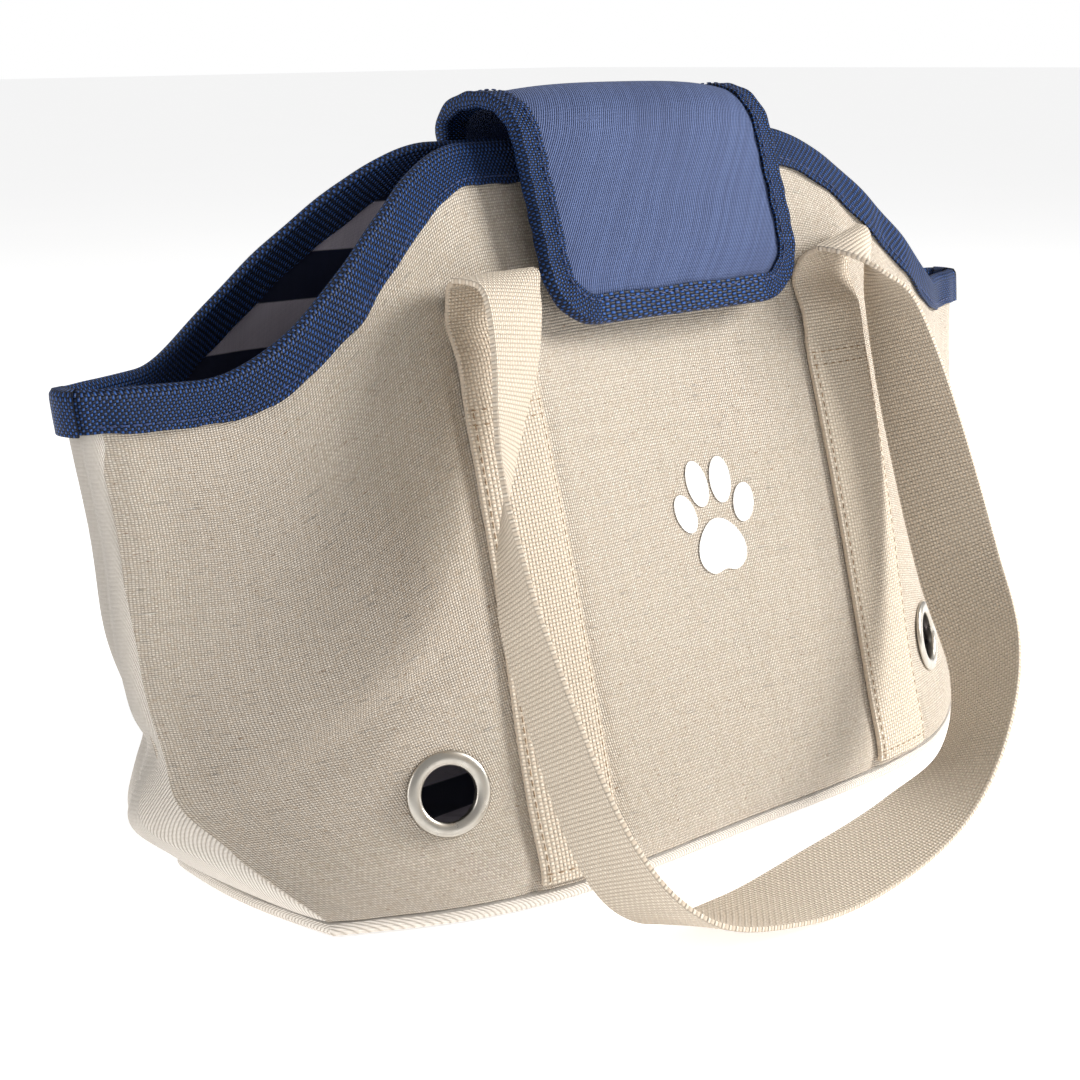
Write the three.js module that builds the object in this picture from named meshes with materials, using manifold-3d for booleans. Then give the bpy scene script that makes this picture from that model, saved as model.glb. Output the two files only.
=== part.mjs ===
// A soft pet carrier bag: linen faces, twill ends and base, a bound rim, a padded flap and two handles.
// Millimetres, +Z up. The origin is on the floor under the middle of the base, and -Y is the front.
import * as THREE from "three";
import { mergeVertices } from "three/addons/utils/BufferGeometryUtils.js";
import Module from "manifold-3d";

// The bag's form
const baseHalfLength = 184;
const topHalfLength = 262;
const flareHeight = 56; // the ends spread out to the top length over about this height
const baseHalfDepth = 88;
const topHalfDepth = 6;
const endHalfDepth = 8; // half the depth of the folded ends
const endHalfDepthBase = 50;
const endFoldHeight = 34; // the ends draw in to that depth over about this height
const seamInset = 6; // how far the end's cloth rolls out past the faces' edges
const endGroove = 4; // how far the end is folded in along its middle
const bellLength = 188; // how far along the bag the full depth reaches
const peakHeight = 274;
const peakHalfLength = 87;
const rimEndHeight = 200;
const rimSlopeEnd = 218;
const baseHeight = 6;

// Cloth
const faceCloth = 1.6;
const liningCloth = 0.9;
const clearance = 0.4;
const tape = 1.3; // binding tape
const tapeClearance = 1; // between a binding and the edge it folds over
const rimTapeWidth = 14;
const endFullness = 7; // how far the ends puff out near the floor

// Handles
const webbingWidth = 38;
const webbingThickness = 2;
const stripCentre = 99;
const stripFoot = 10;
const stripTop = 222;
const stripGap = 1.2; // the linen puffs up between the stitch lines

// Flap
const flapHalfWidth = 72;
const flapCorner = 24;
const flapTapeWidth = 9;
const flapCloth = 1.4;

// Eyelets
const eyeletX = 146;
const eyeletZ = 47;
const eyeletHole = 10.4;
const eyeletRadius = 16;

const wasm = await Module();
wasm.setup();

const cloth = {
  linen: new THREE.MeshStandardMaterial({ color: 0xd2c4b0, roughness: 0.95 }),
  twill: new THREE.MeshStandardMaterial({ color: 0xe2d9cd, roughness: 0.85 }),
  lining: new THREE.MeshStandardMaterial({ color: 0x1c2748, roughness: 0.7 }),
  webbing: new THREE.MeshStandardMaterial({ color: 0xe0d3bf, roughness: 0.85 }),
  binding: new THREE.MeshStandardMaterial({ color: 0x355790, roughness: 0.8 }),
  flap: new THREE.MeshStandardMaterial({ color: 0x56699c, roughness: 0.75 }),
  closure: new THREE.MeshStandardMaterial({ color: 0x20283c, roughness: 0.9 }),
  cushion: new THREE.MeshStandardMaterial({ color: 0xd8d2c8, roughness: 0.95 }),
  board: new THREE.MeshStandardMaterial({ color: 0x3a3a3c, roughness: 0.6 }),
  nickel: new THREE.MeshStandardMaterial({ color: 0xb9b6af, roughness: 0.35, metalness: 1 }),
};

const bag = new THREE.Group();

// ---- the bag's surfaces ----

function halfLength(z) {
  return baseHalfLength + (topHalfLength - baseHalfLength) * (1 - Math.exp(-z / flareHeight));
}

// Depth from the middle plane to the outside of a face, at a place along and up the bag.
function halfDepth(x, z) {
  const up = z / peakHeight;
  const middle = baseHalfDepth + (topHalfDepth - baseHalfDepth) * up;
  const opened = middle * (1 + 1.84 * up * (1 - Math.exp(-((x / 120) ** 2))));
  const end = endHalfDepth + (endHalfDepthBase - endHalfDepth) * Math.exp(-((z / endFoldHeight) ** 1.5));
  const power = 2 + 2 * Math.exp(-z / 60);
  const closing = 1 - Math.min(1, Math.abs(x) / seamLength(z)) ** 8; // the faces meet the ends here
  const bell = closing * Math.exp(-((Math.abs(x) / bellLength) ** power));
  return end + (Math.max(opened, end) - end) * bell;
}

function rimHeight(x) {
  const q = THREE.MathUtils.clamp((Math.abs(x) - peakHalfLength) / (rimSlopeEnd - peakHalfLength), 0, 1);
  return peakHeight + (rimEndHeight - peakHeight) * q * q * (3 - 2 * q);
}

// Length from the middle to the upright edge of a face.
function seamLength(z) {
  return halfLength(z) - seamInset * (1 - Math.exp(-z / 30));
}

// Length from the middle to the outside of an end gusset, which puffs out low down and folds in above.
function endLength(y, z) {
  const half = halfDepth(seamLength(z), z);
  const middle = Math.cos((Math.PI / 2) * THREE.MathUtils.clamp(y / half, -1, 1));
  const low = Math.exp(-(((z - 26) / 24) ** 2));
  const groove = endGroove * Math.exp(-((y / 3) ** 2)) * (1 - Math.exp(-((z / 70) ** 2)));
  return seamLength(z) + middle * (halfLength(z) - seamLength(z) + endFullness * low) - groove;
}

// ---- solids from grids ----

// A closed sheet between an outer and an inner grid of points, at(side, u, v), u and v from 0 to 1.
function sheet(columns, rows, at) {
  const points = [];
  const faces = [];
  for (const side of [0, 1])
    for (let j = 0; j <= rows; j++)
      for (let i = 0; i <= columns; i++) points.push(...at(side, i / columns, j / rows));
  const index = (side, i, j) => side * (columns + 1) * (rows + 1) + j * (columns + 1) + i;
  const quad = (a, b, c, d) => faces.push(a, b, c, a, c, d);
  for (let j = 0; j < rows; j++)
    for (let i = 0; i < columns; i++) {
      quad(index(0, i, j), index(0, i + 1, j), index(0, i + 1, j + 1), index(0, i, j + 1));
      quad(index(1, i, j), index(1, i, j + 1), index(1, i + 1, j + 1), index(1, i + 1, j));
    }
  for (let i = 0; i < columns; i++) {
    quad(index(0, i, 0), index(1, i, 0), index(1, i + 1, 0), index(0, i + 1, 0));
    quad(index(0, i, rows), index(0, i + 1, rows), index(1, i + 1, rows), index(1, i, rows));
  }
  for (let j = 0; j < rows; j++) {
    quad(index(0, 0, j), index(0, 0, j + 1), index(1, 0, j + 1), index(1, 0, j));
    quad(index(0, columns, j), index(1, columns, j), index(1, columns, j + 1), index(0, columns, j + 1));
  }
  return solid(points, faces);
}

// A closed sweep of a ring of points: at(station, corner) gives a point.
function sweep(stations, corners, at) {
  const points = [];
  const faces = [];
  for (let i = 0; i <= stations; i++) for (let k = 0; k < corners; k++) points.push(...at(i, k));
  for (let i = 0; i < stations; i++)
    for (let k = 0; k < corners; k++) {
      const a = i * corners + k;
      const b = i * corners + ((k + 1) % corners);
      faces.push(a, b, b + corners, a, b + corners, a + corners);
    }
  const ring = Array.from({ length: corners }, (_, k) => flatCorner(at, k));
  const cap = THREE.ShapeUtils.triangulateShape(ring, []);
  const end = stations * corners;
  const [first, last] = THREE.ShapeUtils.isClockWise(ring) ? [end, 0] : [0, end];
  for (const [a, b, c] of cap) faces.push(first + a, first + c, first + b, last + a, last + b, last + c);
  return solid(points, faces);
}

// A corner of the first ring, drawn flat on the plane that the ring is widest in.
function flatCorner(at, k) {
  const [x, y, z] = at(0, k);
  return at.flat ? at.flat(x, y, z) : new THREE.Vector2(y, z);
}

// A geometry with its faces turned outwards, whichever way round they were listed.
function solid(points, faces) {
  const [a, b, c] = [new THREE.Vector3(), new THREE.Vector3(), new THREE.Vector3()];
  let volume = 0;
  for (let k = 0; k < faces.length; k += 3) {
    a.fromArray(points, faces[k] * 3);
    b.fromArray(points, faces[k + 1] * 3);
    c.fromArray(points, faces[k + 2] * 3);
    volume += a.dot(b.cross(c));
  }
  if (volume < 0) faces.reverse();
  const geometry = new THREE.BufferGeometry();
  geometry.setAttribute("position", new THREE.Float32BufferAttribute(points, 3));
  geometry.setIndex(faces);
  return geometry;
}

function toManifold(geometry) {
  const plain = geometry.clone();
  plain.deleteAttribute("normal");
  plain.deleteAttribute("uv");
  const merged = mergeVertices(plain, 1e-3);
  return new wasm.Manifold(
    new wasm.Mesh({
      numProp: 3,
      vertProperties: merged.attributes.position.array,
      triVerts: new Uint32Array(merged.index.array),
    }),
  );
}

function fromManifold(made) {
  const mesh = made.getMesh();
  const geometry = new THREE.BufferGeometry();
  geometry.setAttribute("position", new THREE.BufferAttribute(new Float32Array(mesh.vertProperties), 3));
  geometry.setIndex(new THREE.BufferAttribute(new Uint32Array(mesh.triVerts), 1));
  return geometry;
}

function add(name, geometry, material) {
  geometry.computeVertexNormals();
  const mesh = new THREE.Mesh(geometry, material);
  mesh.name = name;
  bag.add(mesh);
  return mesh;
}

const front = { name: "front", side: -1 };
const back = { name: "back", side: 1 };
const left = { name: "left", side: -1 };
const right = { name: "right", side: 1 };

// ---- faces and their lining ----

// The direction a face looks in at an eyelet, and the eyelet's place on it.
function eyeletPlace(side, end) {
  const x = end * eyeletX;
  const slope = (a, b) => (a - b) / 8;
  const along = slope(halfDepth(x + 4, eyeletZ), halfDepth(x - 4, eyeletZ));
  const up = slope(halfDepth(x, eyeletZ + 4), halfDepth(x, eyeletZ - 4));
  const normal = new THREE.Vector3(-along, side, -up).normalize();
  return { place: new THREE.Vector3(x, side * halfDepth(x, eyeletZ), eyeletZ), normal };
}

function alongNormal(geometry, { place, normal }) {
  const turn = new THREE.Quaternion().setFromUnitVectors(new THREE.Vector3(0, 1, 0), normal);
  return geometry.applyQuaternion(turn).translate(place.x, place.y, place.z);
}

// The places of a face's columns along the bag, closer together towards the ends, from -1 to 1.
const faceColumns = 26;
const faceRows = 9; // and one more under the rim binding

function acrossAt(column) {
  const along = (2 * column) / faceColumns - 1;
  return 0.35 * Math.sin((along * Math.PI) / 2) + 0.65 * along;
}

function slopeOf(x) {
  return (rimHeight(x + 1) - rimHeight(x - 1)) / 2;
}

// How far the rim binding reaches down a face, so that it is as wide on the slopes as on the level.
function tapeDrop(x) {
  return rimTapeWidth * Math.hypot(1, slopeOf(x));
}

// A face of cloth whose outside is inset by `inset` from the bag's surface, with holes for the eyelets.
function faceSheet({ side }, inset, thickness, foot, trim) {
  const at = (layer, u, v) => {
    const across = acrossAt(u * faceColumns);
    const x = across * topHalfLength;
    const row = Math.round(v * (faceRows + 1));
    const low = rimHeight(x) - tapeDrop(x);
    const z = row > faceRows ? rimHeight(x) : foot + (row / faceRows) * (low - foot);
    const most = seamLength(z) - trim;
    const place = THREE.MathUtils.clamp(across * seamLength(z), -most, most);
    return [place, side * (halfDepth(place, z) - inset - layer * thickness), z];
  };
  let made = toManifold(sheet(faceColumns, faceRows + 1, at));
  for (const end of [-1, 1]) {
    const drill = new THREE.CylinderGeometry(eyeletHole + 1.6, eyeletHole + 1.6, 24, 16);
    made = made.subtract(toManifold(alongNormal(drill, eyeletPlace(side, end))));
  }
  return fromManifold(made);
}

for (const face of [front, back]) {
  add(`${face.name}_panel`, faceSheet(face, 0, faceCloth, baseHeight + clearance, 0), cloth.linen);
  const inset = faceCloth + clearance;
  const lining = faceSheet(face, inset, liningCloth, baseHeight + clearance, 3.4);
  add(`${face.name}_lining`, lining, cloth.lining);
}

// ---- ends and their lining ----

function endSheet({ side }, inset, thickness, foot) {
  const at = (layer, u, v) => {
    const z = foot + v * (rimEndHeight - 0.5 - foot);
    const half = halfDepth(seamLength(z), z) - faceCloth - clearance - inset * 1.1 - 0.2;
    const y = (u * 2 - 1) * half;
    return [side * (endLength(y, z) - inset - layer * thickness), y, z];
  };
  return sheet(10, 12, at);
}

for (const end of [left, right]) {
  add(`${end.name}_gusset`, endSheet(end, 0, faceCloth, baseHeight + clearance), cloth.twill);
  const lining = endSheet(end, faceCloth + clearance + 1.6, liningCloth, baseHeight + 2.4);
  add(`${end.name}_lining`, lining, cloth.lining);
}

// ---- base, board and cushion ----

// The plan outline at a height, pulled in by `inset`, counter-clockwise.
function plan(z, inset) {
  const faceSteps = 14;
  const endSteps = 6;
  const outline = [];
  for (const side of [-1, 1]) {
    for (let i = 0; i <= faceSteps; i++) {
      const x = -side * (i / faceSteps - 0.5) * 2 * (seamLength(z) - inset);
      outline.push(new THREE.Vector2(x, side * (halfDepth(x, z) - inset)));
    }
    const half = halfDepth(seamLength(z), z) - inset;
    for (let i = 1; i < endSteps; i++) {
      const y = side * (1 - (2 * i) / endSteps) * half;
      outline.push(new THREE.Vector2(-side * (endLength(y, z) - inset), y));
    }
  }
  return outline;
}

function slab(inset, low, high, edge) {
  const outline = new THREE.Shape(plan(baseHeight, inset + edge));
  const round = edge > 0;
  const geometry = new THREE.ExtrudeGeometry(outline, {
    depth: high - low - 2 * edge,
    bevelEnabled: round,
    bevelThickness: edge,
    bevelSize: edge,
    bevelSegments: 2,
  });
  return geometry.translate(0, 0, low + edge);
}

const liningFloor = baseHeight + 2.4 + clearance;
add("base_panel", slab(0, 0, baseHeight, 2), cloth.twill);
add("base_lining", slab(6, baseHeight + clearance, baseHeight + clearance + liningCloth, 0), cloth.lining);
add("base_board", slab(9, liningFloor - clearance, liningFloor + 2.4, 0), cloth.board);
add("base_cushion", slab(9.5, liningFloor + 2.8, liningFloor + 16, 5), cloth.cushion);

// ---- rim binding: a folded tape over the edge of face and lining ----

const inner = faceCloth + liningCloth + clearance + tapeClearance;
const foldedTape = [
  [tapeClearance, -1],
  [tapeClearance + tape, -1],
  [tapeClearance + tape, 0.1],
  [-inner / 2, 0.24],
  [-inner - tape, 0.1],
  [-inner - tape, -1],
  [-inner, -1],
  [-inner, 0.05],
  [tapeClearance, 0.05],
];

function faceBinding({ side }) {
  const at = (column, k) => {
    const across = acrossAt(column);
    const x = across * topHalfLength;
    const [out, up] = foldedTape[k];
    const z = rimHeight(x) + (up < 0 ? up * tapeDrop(x) : up * rimTapeWidth);
    const overhang = Math.abs(across) < 1 ? 0 : out > 0 ? 3 : -10;
    const place = across * (seamLength(z) + overhang);
    return [place, side * (halfDepth(place, Math.min(z, rimHeight(x))) + out), z];
  };
  return sweep(faceColumns, foldedTape.length, at);
}

function endBinding({ side }) {
  const stations = 6;
  const at = (i, k) => {
    const [out, up] = foldedTape[k];
    const z = rimEndHeight + up * rimTapeWidth;
    const half = halfDepth(seamLength(z), z) - 4;
    const y = (i / stations - 0.5) * 2 * half;
    return [side * (endLength(y, z) + (out > 0 ? out : out * 1.7)), y, z];
  };
  at.flat = (x, y, z) => new THREE.Vector2(x, z);
  return sweep(stations, foldedTape.length, at);
}

for (const face of [front, back]) add(`${face.name}_rim_binding`, faceBinding(face), cloth.binding);
for (const end of [left, right]) add(`${end.name}_rim_binding`, endBinding(end), cloth.binding);

// ---- handles ----

// A webbing strip sewn up a face, which leaves it at the top and stands out towards the fold.
function stripSheet({ side }, centre) {
  const rise = [
    [1, 1.4],
    [3, 3.8],
    [5.6, 5.2],
  ];
  const rows = 9;
  const at = (layer, u, v) => {
    const step = Math.round(v * (rows + rise.length));
    const x = centre + (u - 0.5) * webbingWidth;
    const z = stripFoot + (Math.min(step, rows) / rows) * (stripTop - stripFoot);
    const out = stripGap + (1 - layer) * webbingThickness;
    if (step <= rows) return [x, side * (halfDepth(x, z) + out), z];
    const [away, up] = rise[step - rows - 1];
    const lift = halfDepth(x, stripTop) + stripGap + away + (1 - layer) * webbingThickness * 0.7;
    return [x, side * lift, stripTop + up - (1 - layer) * webbingThickness * 0.7];
  };
  return sheet(4, rows + rise.length, at);
}

// The free loop: the middle of the webbing, from one fold to the other, and its front edge from there.
const loopMiddle = [
  [-102, 51.5, 233],
  [-109, 59, 222],
  [-118, 64, 202],
  [-128, 73, 161],
  [-138, 96, 106],
  [-137, 130, 44],
  [-117, 145, 14],
  [-73, 148, 4.5],
  [-24, 148, 6],
  [27, 147, 15],
  [70, 141, 32],
  [101, 124, 58],
  [116, 98, 94],
  [119, 76, 150],
  [114, 61, 198],
  [106, 53, 217],
  [101, 51, 233],
];
const loopAcross = [
  [-19, 0, 1],
  [-17, 8, 4],
  [-13, 13, 6],
  [-9, 15, 8],
  [-6, 16, 8.5],
  [-3, 16.5, 8],
  [-0.5, 18.3, 5],
  [1, 19, 0.5],
  [1, 18.7, -3],
  [0, 19, -1],
  [-1.5, 17, 8],
  [1.5, 15.5, 11],
  [5.5, 16, 8.5],
  [1, 18, 6],
  [-6, 17.4, 5],
  [-13, 13, 4],
  [-19, 4, 1],
];

function loopSheet({ side }) {
  const curve = (list) => new THREE.CatmullRomCurve3(list.map((p) => new THREE.Vector3(...p)));
  const middle = curve(loopMiddle);
  const across = curve(loopAcross);
  const at = (layer, u, v) => {
    const point = middle.getPoint(v);
    const wide = across.getPoint(v).normalize();
    const normal = middle.getTangent(v).cross(wide).normalize();
    point.addScaledVector(wide, (u - 0.5) * webbingWidth);
    point.addScaledVector(normal, (0.5 - layer) * webbingThickness);
    return [point.x, side * point.y, point.z];
  };
  return sheet(2, 48, at);
}

for (const face of [front, back]) {
  for (const end of [left, right])
    add(`${face.name}_${end.name}_strip`, stripSheet(face, end.side * stripCentre), cloth.webbing);
  add(`${face.name}_handle_loop`, loopSheet(face), cloth.webbing);
}

// ---- eyelets ----

function eyeletRing() {
  const profile = [
    [eyeletHole, -3.6],
    [eyeletHole + 0.9, -3.6],
    [eyeletHole + 0.9, 0.8],
    [eyeletRadius - 0.6, 0.8],
    [eyeletRadius, 1.2],
    [eyeletRadius - 2.2, 2.2],
    [eyeletHole + 1.4, 2.3],
    [eyeletHole, 1.2],
    [eyeletHole, -3.6],
  ];
  return new THREE.LatheGeometry(profile.map((p) => new THREE.Vector2(...p)), 16);
}

function eyeletWasher() {
  const profile = [
    [eyeletHole + 1.3, -4.8],
    [eyeletRadius - 1, -4.8],
    [eyeletRadius - 1, -3.9],
    [eyeletHole + 1.3, -3.9],
    [eyeletHole + 1.3, -4.8],
  ];
  return new THREE.LatheGeometry(profile.map((p) => new THREE.Vector2(...p)), 16);
}

for (const face of [front, back])
  for (const end of [left, right]) {
    const where = eyeletPlace(face.side, end.side);
    const label = `${face.name}_${end.name}`;
    add(`${label}_eyelet`, alongNormal(eyeletRing(), where), cloth.nickel);
    add(`${label}_eyelet_washer`, alongNormal(eyeletWasher(), where), cloth.nickel);
  }

// ---- flap ----

// The flap's own line from its seam at the back, over the top and down the front: [y, z].
const flapLine = new THREE.CatmullRomCurve3(
  [
    [17, 272],
    [18, 282],
    [11, 289],
    [-2, 291.5],
    [-14, 289],
    [-23, 280],
    [-29, 262],
    [-37, 236],
    [-44, 208],
  ].map(([y, z]) => new THREE.Vector3(0, y, z)),
);
const flapLength = flapLine.getLength();

// A point `along` the flap's line and `out` from it, on the outside of the bend.
function flapPoint(along, out) {
  const t = THREE.MathUtils.clamp(along / flapLength, 0, 1);
  const past = along - t * flapLength;
  const tangent = flapLine.getTangentAt(t);
  const point = flapLine.getPointAt(t).addScaledVector(tangent, past);
  return [point.y + tangent.z * out, point.z - tangent.y * out];
}

// How wide the flap is at a place along it: straight sides, then round corners at the free end.
function flapHalf(along, inset) {
  const toEnd = flapLength - inset - along;
  const corner = flapCorner - inset;
  const short = toEnd < corner ? corner - Math.sqrt(Math.max(0, corner ** 2 - (corner - toEnd) ** 2)) : 0;
  return flapHalfWidth - inset - short;
}

// The stations along the flap: even down its straight sides, then by angle round its corners.
const flapStraightSteps = 9;
const flapCornerSteps = 5;
const flapStart = 2;

function cornerAngle(step) {
  return ((step / flapCornerSteps) * Math.PI) / 2;
}

function flapStation(step) {
  const straight = flapLength - flapCorner;
  if (step <= flapStraightSteps) return flapStart + ((straight - flapStart) * step) / flapStraightSteps;
  return straight + flapCorner * Math.sin(cornerAngle(step - flapStraightSteps));
}

function flapSheet(inset, low, high) {
  const rows = flapStraightSteps + flapCornerSteps;
  const at = (layer, u, v) => {
    const along = Math.min(flapStation(Math.round(v * rows)), flapLength - inset);
    const [y, z] = flapPoint(along, layer ? low : high);
    return [(u * 2 - 1) * flapHalf(along, inset), y, z];
  };
  return sheet(8, rows, at);
}

// The folded tape round the flap's sides and free end: a flat band with a slot for the flap's edge.
function flapBinding() {
  const path = [];
  for (let i = 0; i <= flapStraightSteps; i++) path.push([-flapHalfWidth, flapStation(i), -1, 0]);
  for (let i = 1; i <= flapCornerSteps; i++) path.push(cornerPoint(-1, cornerAngle(i)));
  for (let i = flapCornerSteps; i >= 1; i--) path.push(cornerPoint(1, cornerAngle(i)));
  for (let i = flapStraightSteps; i >= 0; i--) path.push([flapHalfWidth, flapStation(i), 1, 0]);
  const section = [
    [0.6, -2.8],
    [0.6, 2.8],
    [-flapTapeWidth, 3.1],
    [-flapTapeWidth, 2.1],
    [-1.2, 2.1],
    [-1.2, -2.1],
    [-flapTapeWidth, -2.1],
    [-flapTapeWidth, -3.1],
  ];
  const at = (i, k) => {
    const [x, along, sideways, onward] = path[i];
    const [out, up] = section[k];
    const [y, z] = flapPoint(along + onward * out, up);
    return [x + sideways * out, y, z];
  };
  at.flat = (x, y) => new THREE.Vector2(x, y);
  return sweep(path.length - 1, section.length, at);
}

function cornerPoint(side, angle) {
  const x = flapHalfWidth - flapCorner + flapCorner * Math.cos(angle);
  const along = flapLength - flapCorner + flapCorner * Math.sin(angle);
  return [side * x, along, side * Math.cos(angle), Math.sin(angle)];
}

add("flap_outer", flapSheet(2.2, 0.2, 0.2 + flapCloth), cloth.flap);
add("flap_lining", flapSheet(2.2, -0.2 - flapCloth, -0.2), cloth.lining);
add("flap_binding", flapBinding(), cloth.binding);

// ---- closure: a hook strip under the flap and its loop strip on the front ----

function hookStrip() {
  const at = (layer, u, v) => {
    const [y, z] = flapPoint(flapLength - 34 + v * 20, -1.9 - layer * 1.1);
    return [(u * 2 - 1) * 32, y, z];
  };
  return sheet(1, 2, at);
}

function loopStrip() {
  const at = (layer, u, v) => {
    const x = (u * 2 - 1) * 32;
    const z = 218 + v * 20;
    return [x, -(halfDepth(x, z) + stripGap + (1 - layer) * 1.1), z];
  };
  return sheet(4, 2, at);
}

add("closure_hook_strip", hookStrip(), cloth.closure);
add("closure_loop_strip", loopStrip(), cloth.closure);

export default bag;
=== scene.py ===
import math

import bpy
import numpy as np
from mathutils import Matrix, Vector


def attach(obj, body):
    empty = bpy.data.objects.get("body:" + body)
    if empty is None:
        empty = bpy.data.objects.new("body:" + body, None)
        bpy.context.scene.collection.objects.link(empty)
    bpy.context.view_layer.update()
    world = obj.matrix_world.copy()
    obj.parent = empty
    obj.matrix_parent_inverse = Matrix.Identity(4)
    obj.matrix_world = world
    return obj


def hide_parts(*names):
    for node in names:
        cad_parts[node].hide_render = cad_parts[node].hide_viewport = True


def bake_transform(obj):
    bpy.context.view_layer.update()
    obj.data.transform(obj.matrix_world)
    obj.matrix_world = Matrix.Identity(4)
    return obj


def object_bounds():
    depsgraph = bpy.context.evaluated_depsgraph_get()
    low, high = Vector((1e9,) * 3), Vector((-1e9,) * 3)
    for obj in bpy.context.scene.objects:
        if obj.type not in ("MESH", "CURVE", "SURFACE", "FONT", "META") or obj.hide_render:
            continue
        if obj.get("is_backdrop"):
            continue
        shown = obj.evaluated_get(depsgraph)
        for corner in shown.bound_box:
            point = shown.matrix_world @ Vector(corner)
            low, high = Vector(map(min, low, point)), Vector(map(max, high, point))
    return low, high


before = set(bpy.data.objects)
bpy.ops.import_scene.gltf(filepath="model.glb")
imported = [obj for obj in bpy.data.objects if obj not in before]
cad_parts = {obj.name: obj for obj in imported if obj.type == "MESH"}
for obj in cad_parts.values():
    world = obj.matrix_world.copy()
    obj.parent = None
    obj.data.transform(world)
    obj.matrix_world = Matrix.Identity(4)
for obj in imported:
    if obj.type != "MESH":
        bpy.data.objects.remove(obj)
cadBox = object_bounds()
mm = 0.001
rng = np.random.default_rng(7)

# Lengths in the dicts below are in millimetres, in the frame's own axes.
form = {
    "baseHalfLength": 184.0,
    "topHalfLength": 262.0,
    "flareHeight": 56.0,
    "baseHalfDepth": 88.0,
    "topHalfDepth": 6.0,
    "endHalfDepth": 8.0,
    "endHalfDepthBase": 50.0,
    "endFoldHeight": 34.0,
    "seamInset": 6.0,
    "endGroove": 4.0,
    "bellLength": 188.0,
    "peakHeight": 274.0,
    "peakHalfLength": 87.0,
    "rimEndHeight": 200.0,
    "rimSlopeEnd": 218.0,
    "foot": 6.4,
}
eyelet = {"x": 146.0, "z": 47.0, "hole": 10.4, "radius": 16.0, "dome": 1.7}
webbing = {"width": 38.0, "thick": 2.1, "centre": 99.0, "foot": 9.0, "sewnTop": 187.0, "lift": 0.6}


def halfLength(z):
    spread = form["topHalfLength"] - form["baseHalfLength"]
    return form["baseHalfLength"] + spread * (1 - np.exp(-z / form["flareHeight"]))


def seamLength(z):  # to the upright edge of a face
    return halfLength(z) - form["seamInset"] * (1 - np.exp(-z / 30))


def halfDepth(x, z):
    up = z / form["peakHeight"]
    middle = form["baseHalfDepth"] + (form["topHalfDepth"] - form["baseHalfDepth"]) * up
    opened = middle * (1 + 1.84 * up * (1 - np.exp(-((x / 120) ** 2))))
    lowEnd = form["endHalfDepthBase"] - form["endHalfDepth"]
    end = form["endHalfDepth"] + lowEnd * np.exp(-((np.maximum(z, 0) / form["endFoldHeight"]) ** 1.5))
    power = 2 + 2 * np.exp(-z / 60)
    closing = 1 - np.minimum(1, np.abs(x) / seamLength(z)) ** 8
    bell = closing * np.exp(-((np.abs(x) / form["bellLength"]) ** power))
    return end + (np.maximum(opened, end) - end) * bell


def rimHeight(x):
    slope = form["rimSlopeEnd"] - form["peakHalfLength"]
    q = np.clip((np.abs(x) - form["peakHalfLength"]) / slope, 0, 1)
    return form["peakHeight"] + (form["rimEndHeight"] - form["peakHeight"]) * q * q * (3 - 2 * q)


def endLength(y, z):
    half = halfDepth(seamLength(z), z)
    middle = np.cos(np.pi / 2 * np.clip(y / half, -1, 1))
    low = np.exp(-(((z - 26) / 24) ** 2))
    groove = form["endGroove"] * np.exp(-((y / 3) ** 2)) * (1 - np.exp(-((z / 70) ** 2)))
    return seamLength(z) + middle * (halfLength(z) - seamLength(z) + 7 * low) - groove


def bump(value, centre, width):
    return np.exp(-(((value - centre) / width) ** 2))


def ripple(a, b, seed):  # a slow, uneven wave of about unit height
    turn = seed * 1.7
    return (
        np.sin(a / 31 + turn) * np.cos(b / 37 - turn)
        + 0.6 * np.sin((a + 0.8 * b) / 19 + 2 * turn)
        + 0.4 * np.sin((b - 0.6 * a) / 13 - turn)
    ) / 1.6


settle = {"waist": 6.0, "pinch": 9.0, "knee": 7.0, "rightIn": 11.0, "rightBack": 6.0, "leftOpen": 9.0}


def settled(points):  # how the soft ends lean and pinch away from the plain form
    x, y, z = points[:, 0], points[:, 1], points[:, 2]
    outer = np.clip((np.abs(x) - 165) / 85, 0, 1)
    outer = outer * outer * (3 - 2 * outer)
    rear = 1 / (1 + np.exp(-y / 2.5))
    pull = settle["waist"] * bump(z, 145, 42) + settle["pinch"] * rear * bump(z, 84, 24)
    pull = pull - settle["knee"] * (1 - rear) * bump(z, 50, 15)
    high = np.clip((z - 110) / 90, 0, 1)
    lean = outer * (x > 0) * high
    moved = points.copy()
    moved[:, 0] -= np.sign(x) * outer * pull + settle["rightIn"] * lean
    moved[:, 1] += settle["rightBack"] * lean
    moved[:, 1] += settle["leftOpen"] * rear * bump(x, -172, 46) * high
    return moved


puff = {
    "betweenStrips": 2.2,
    "stripGroove": 1.1,
    "edgeRoll": 0.9,
    "baseSag": 1.8,
    "drag": 1.6,
    "rimPucker": 0.5,
    "fold": 3.4,
}


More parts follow.
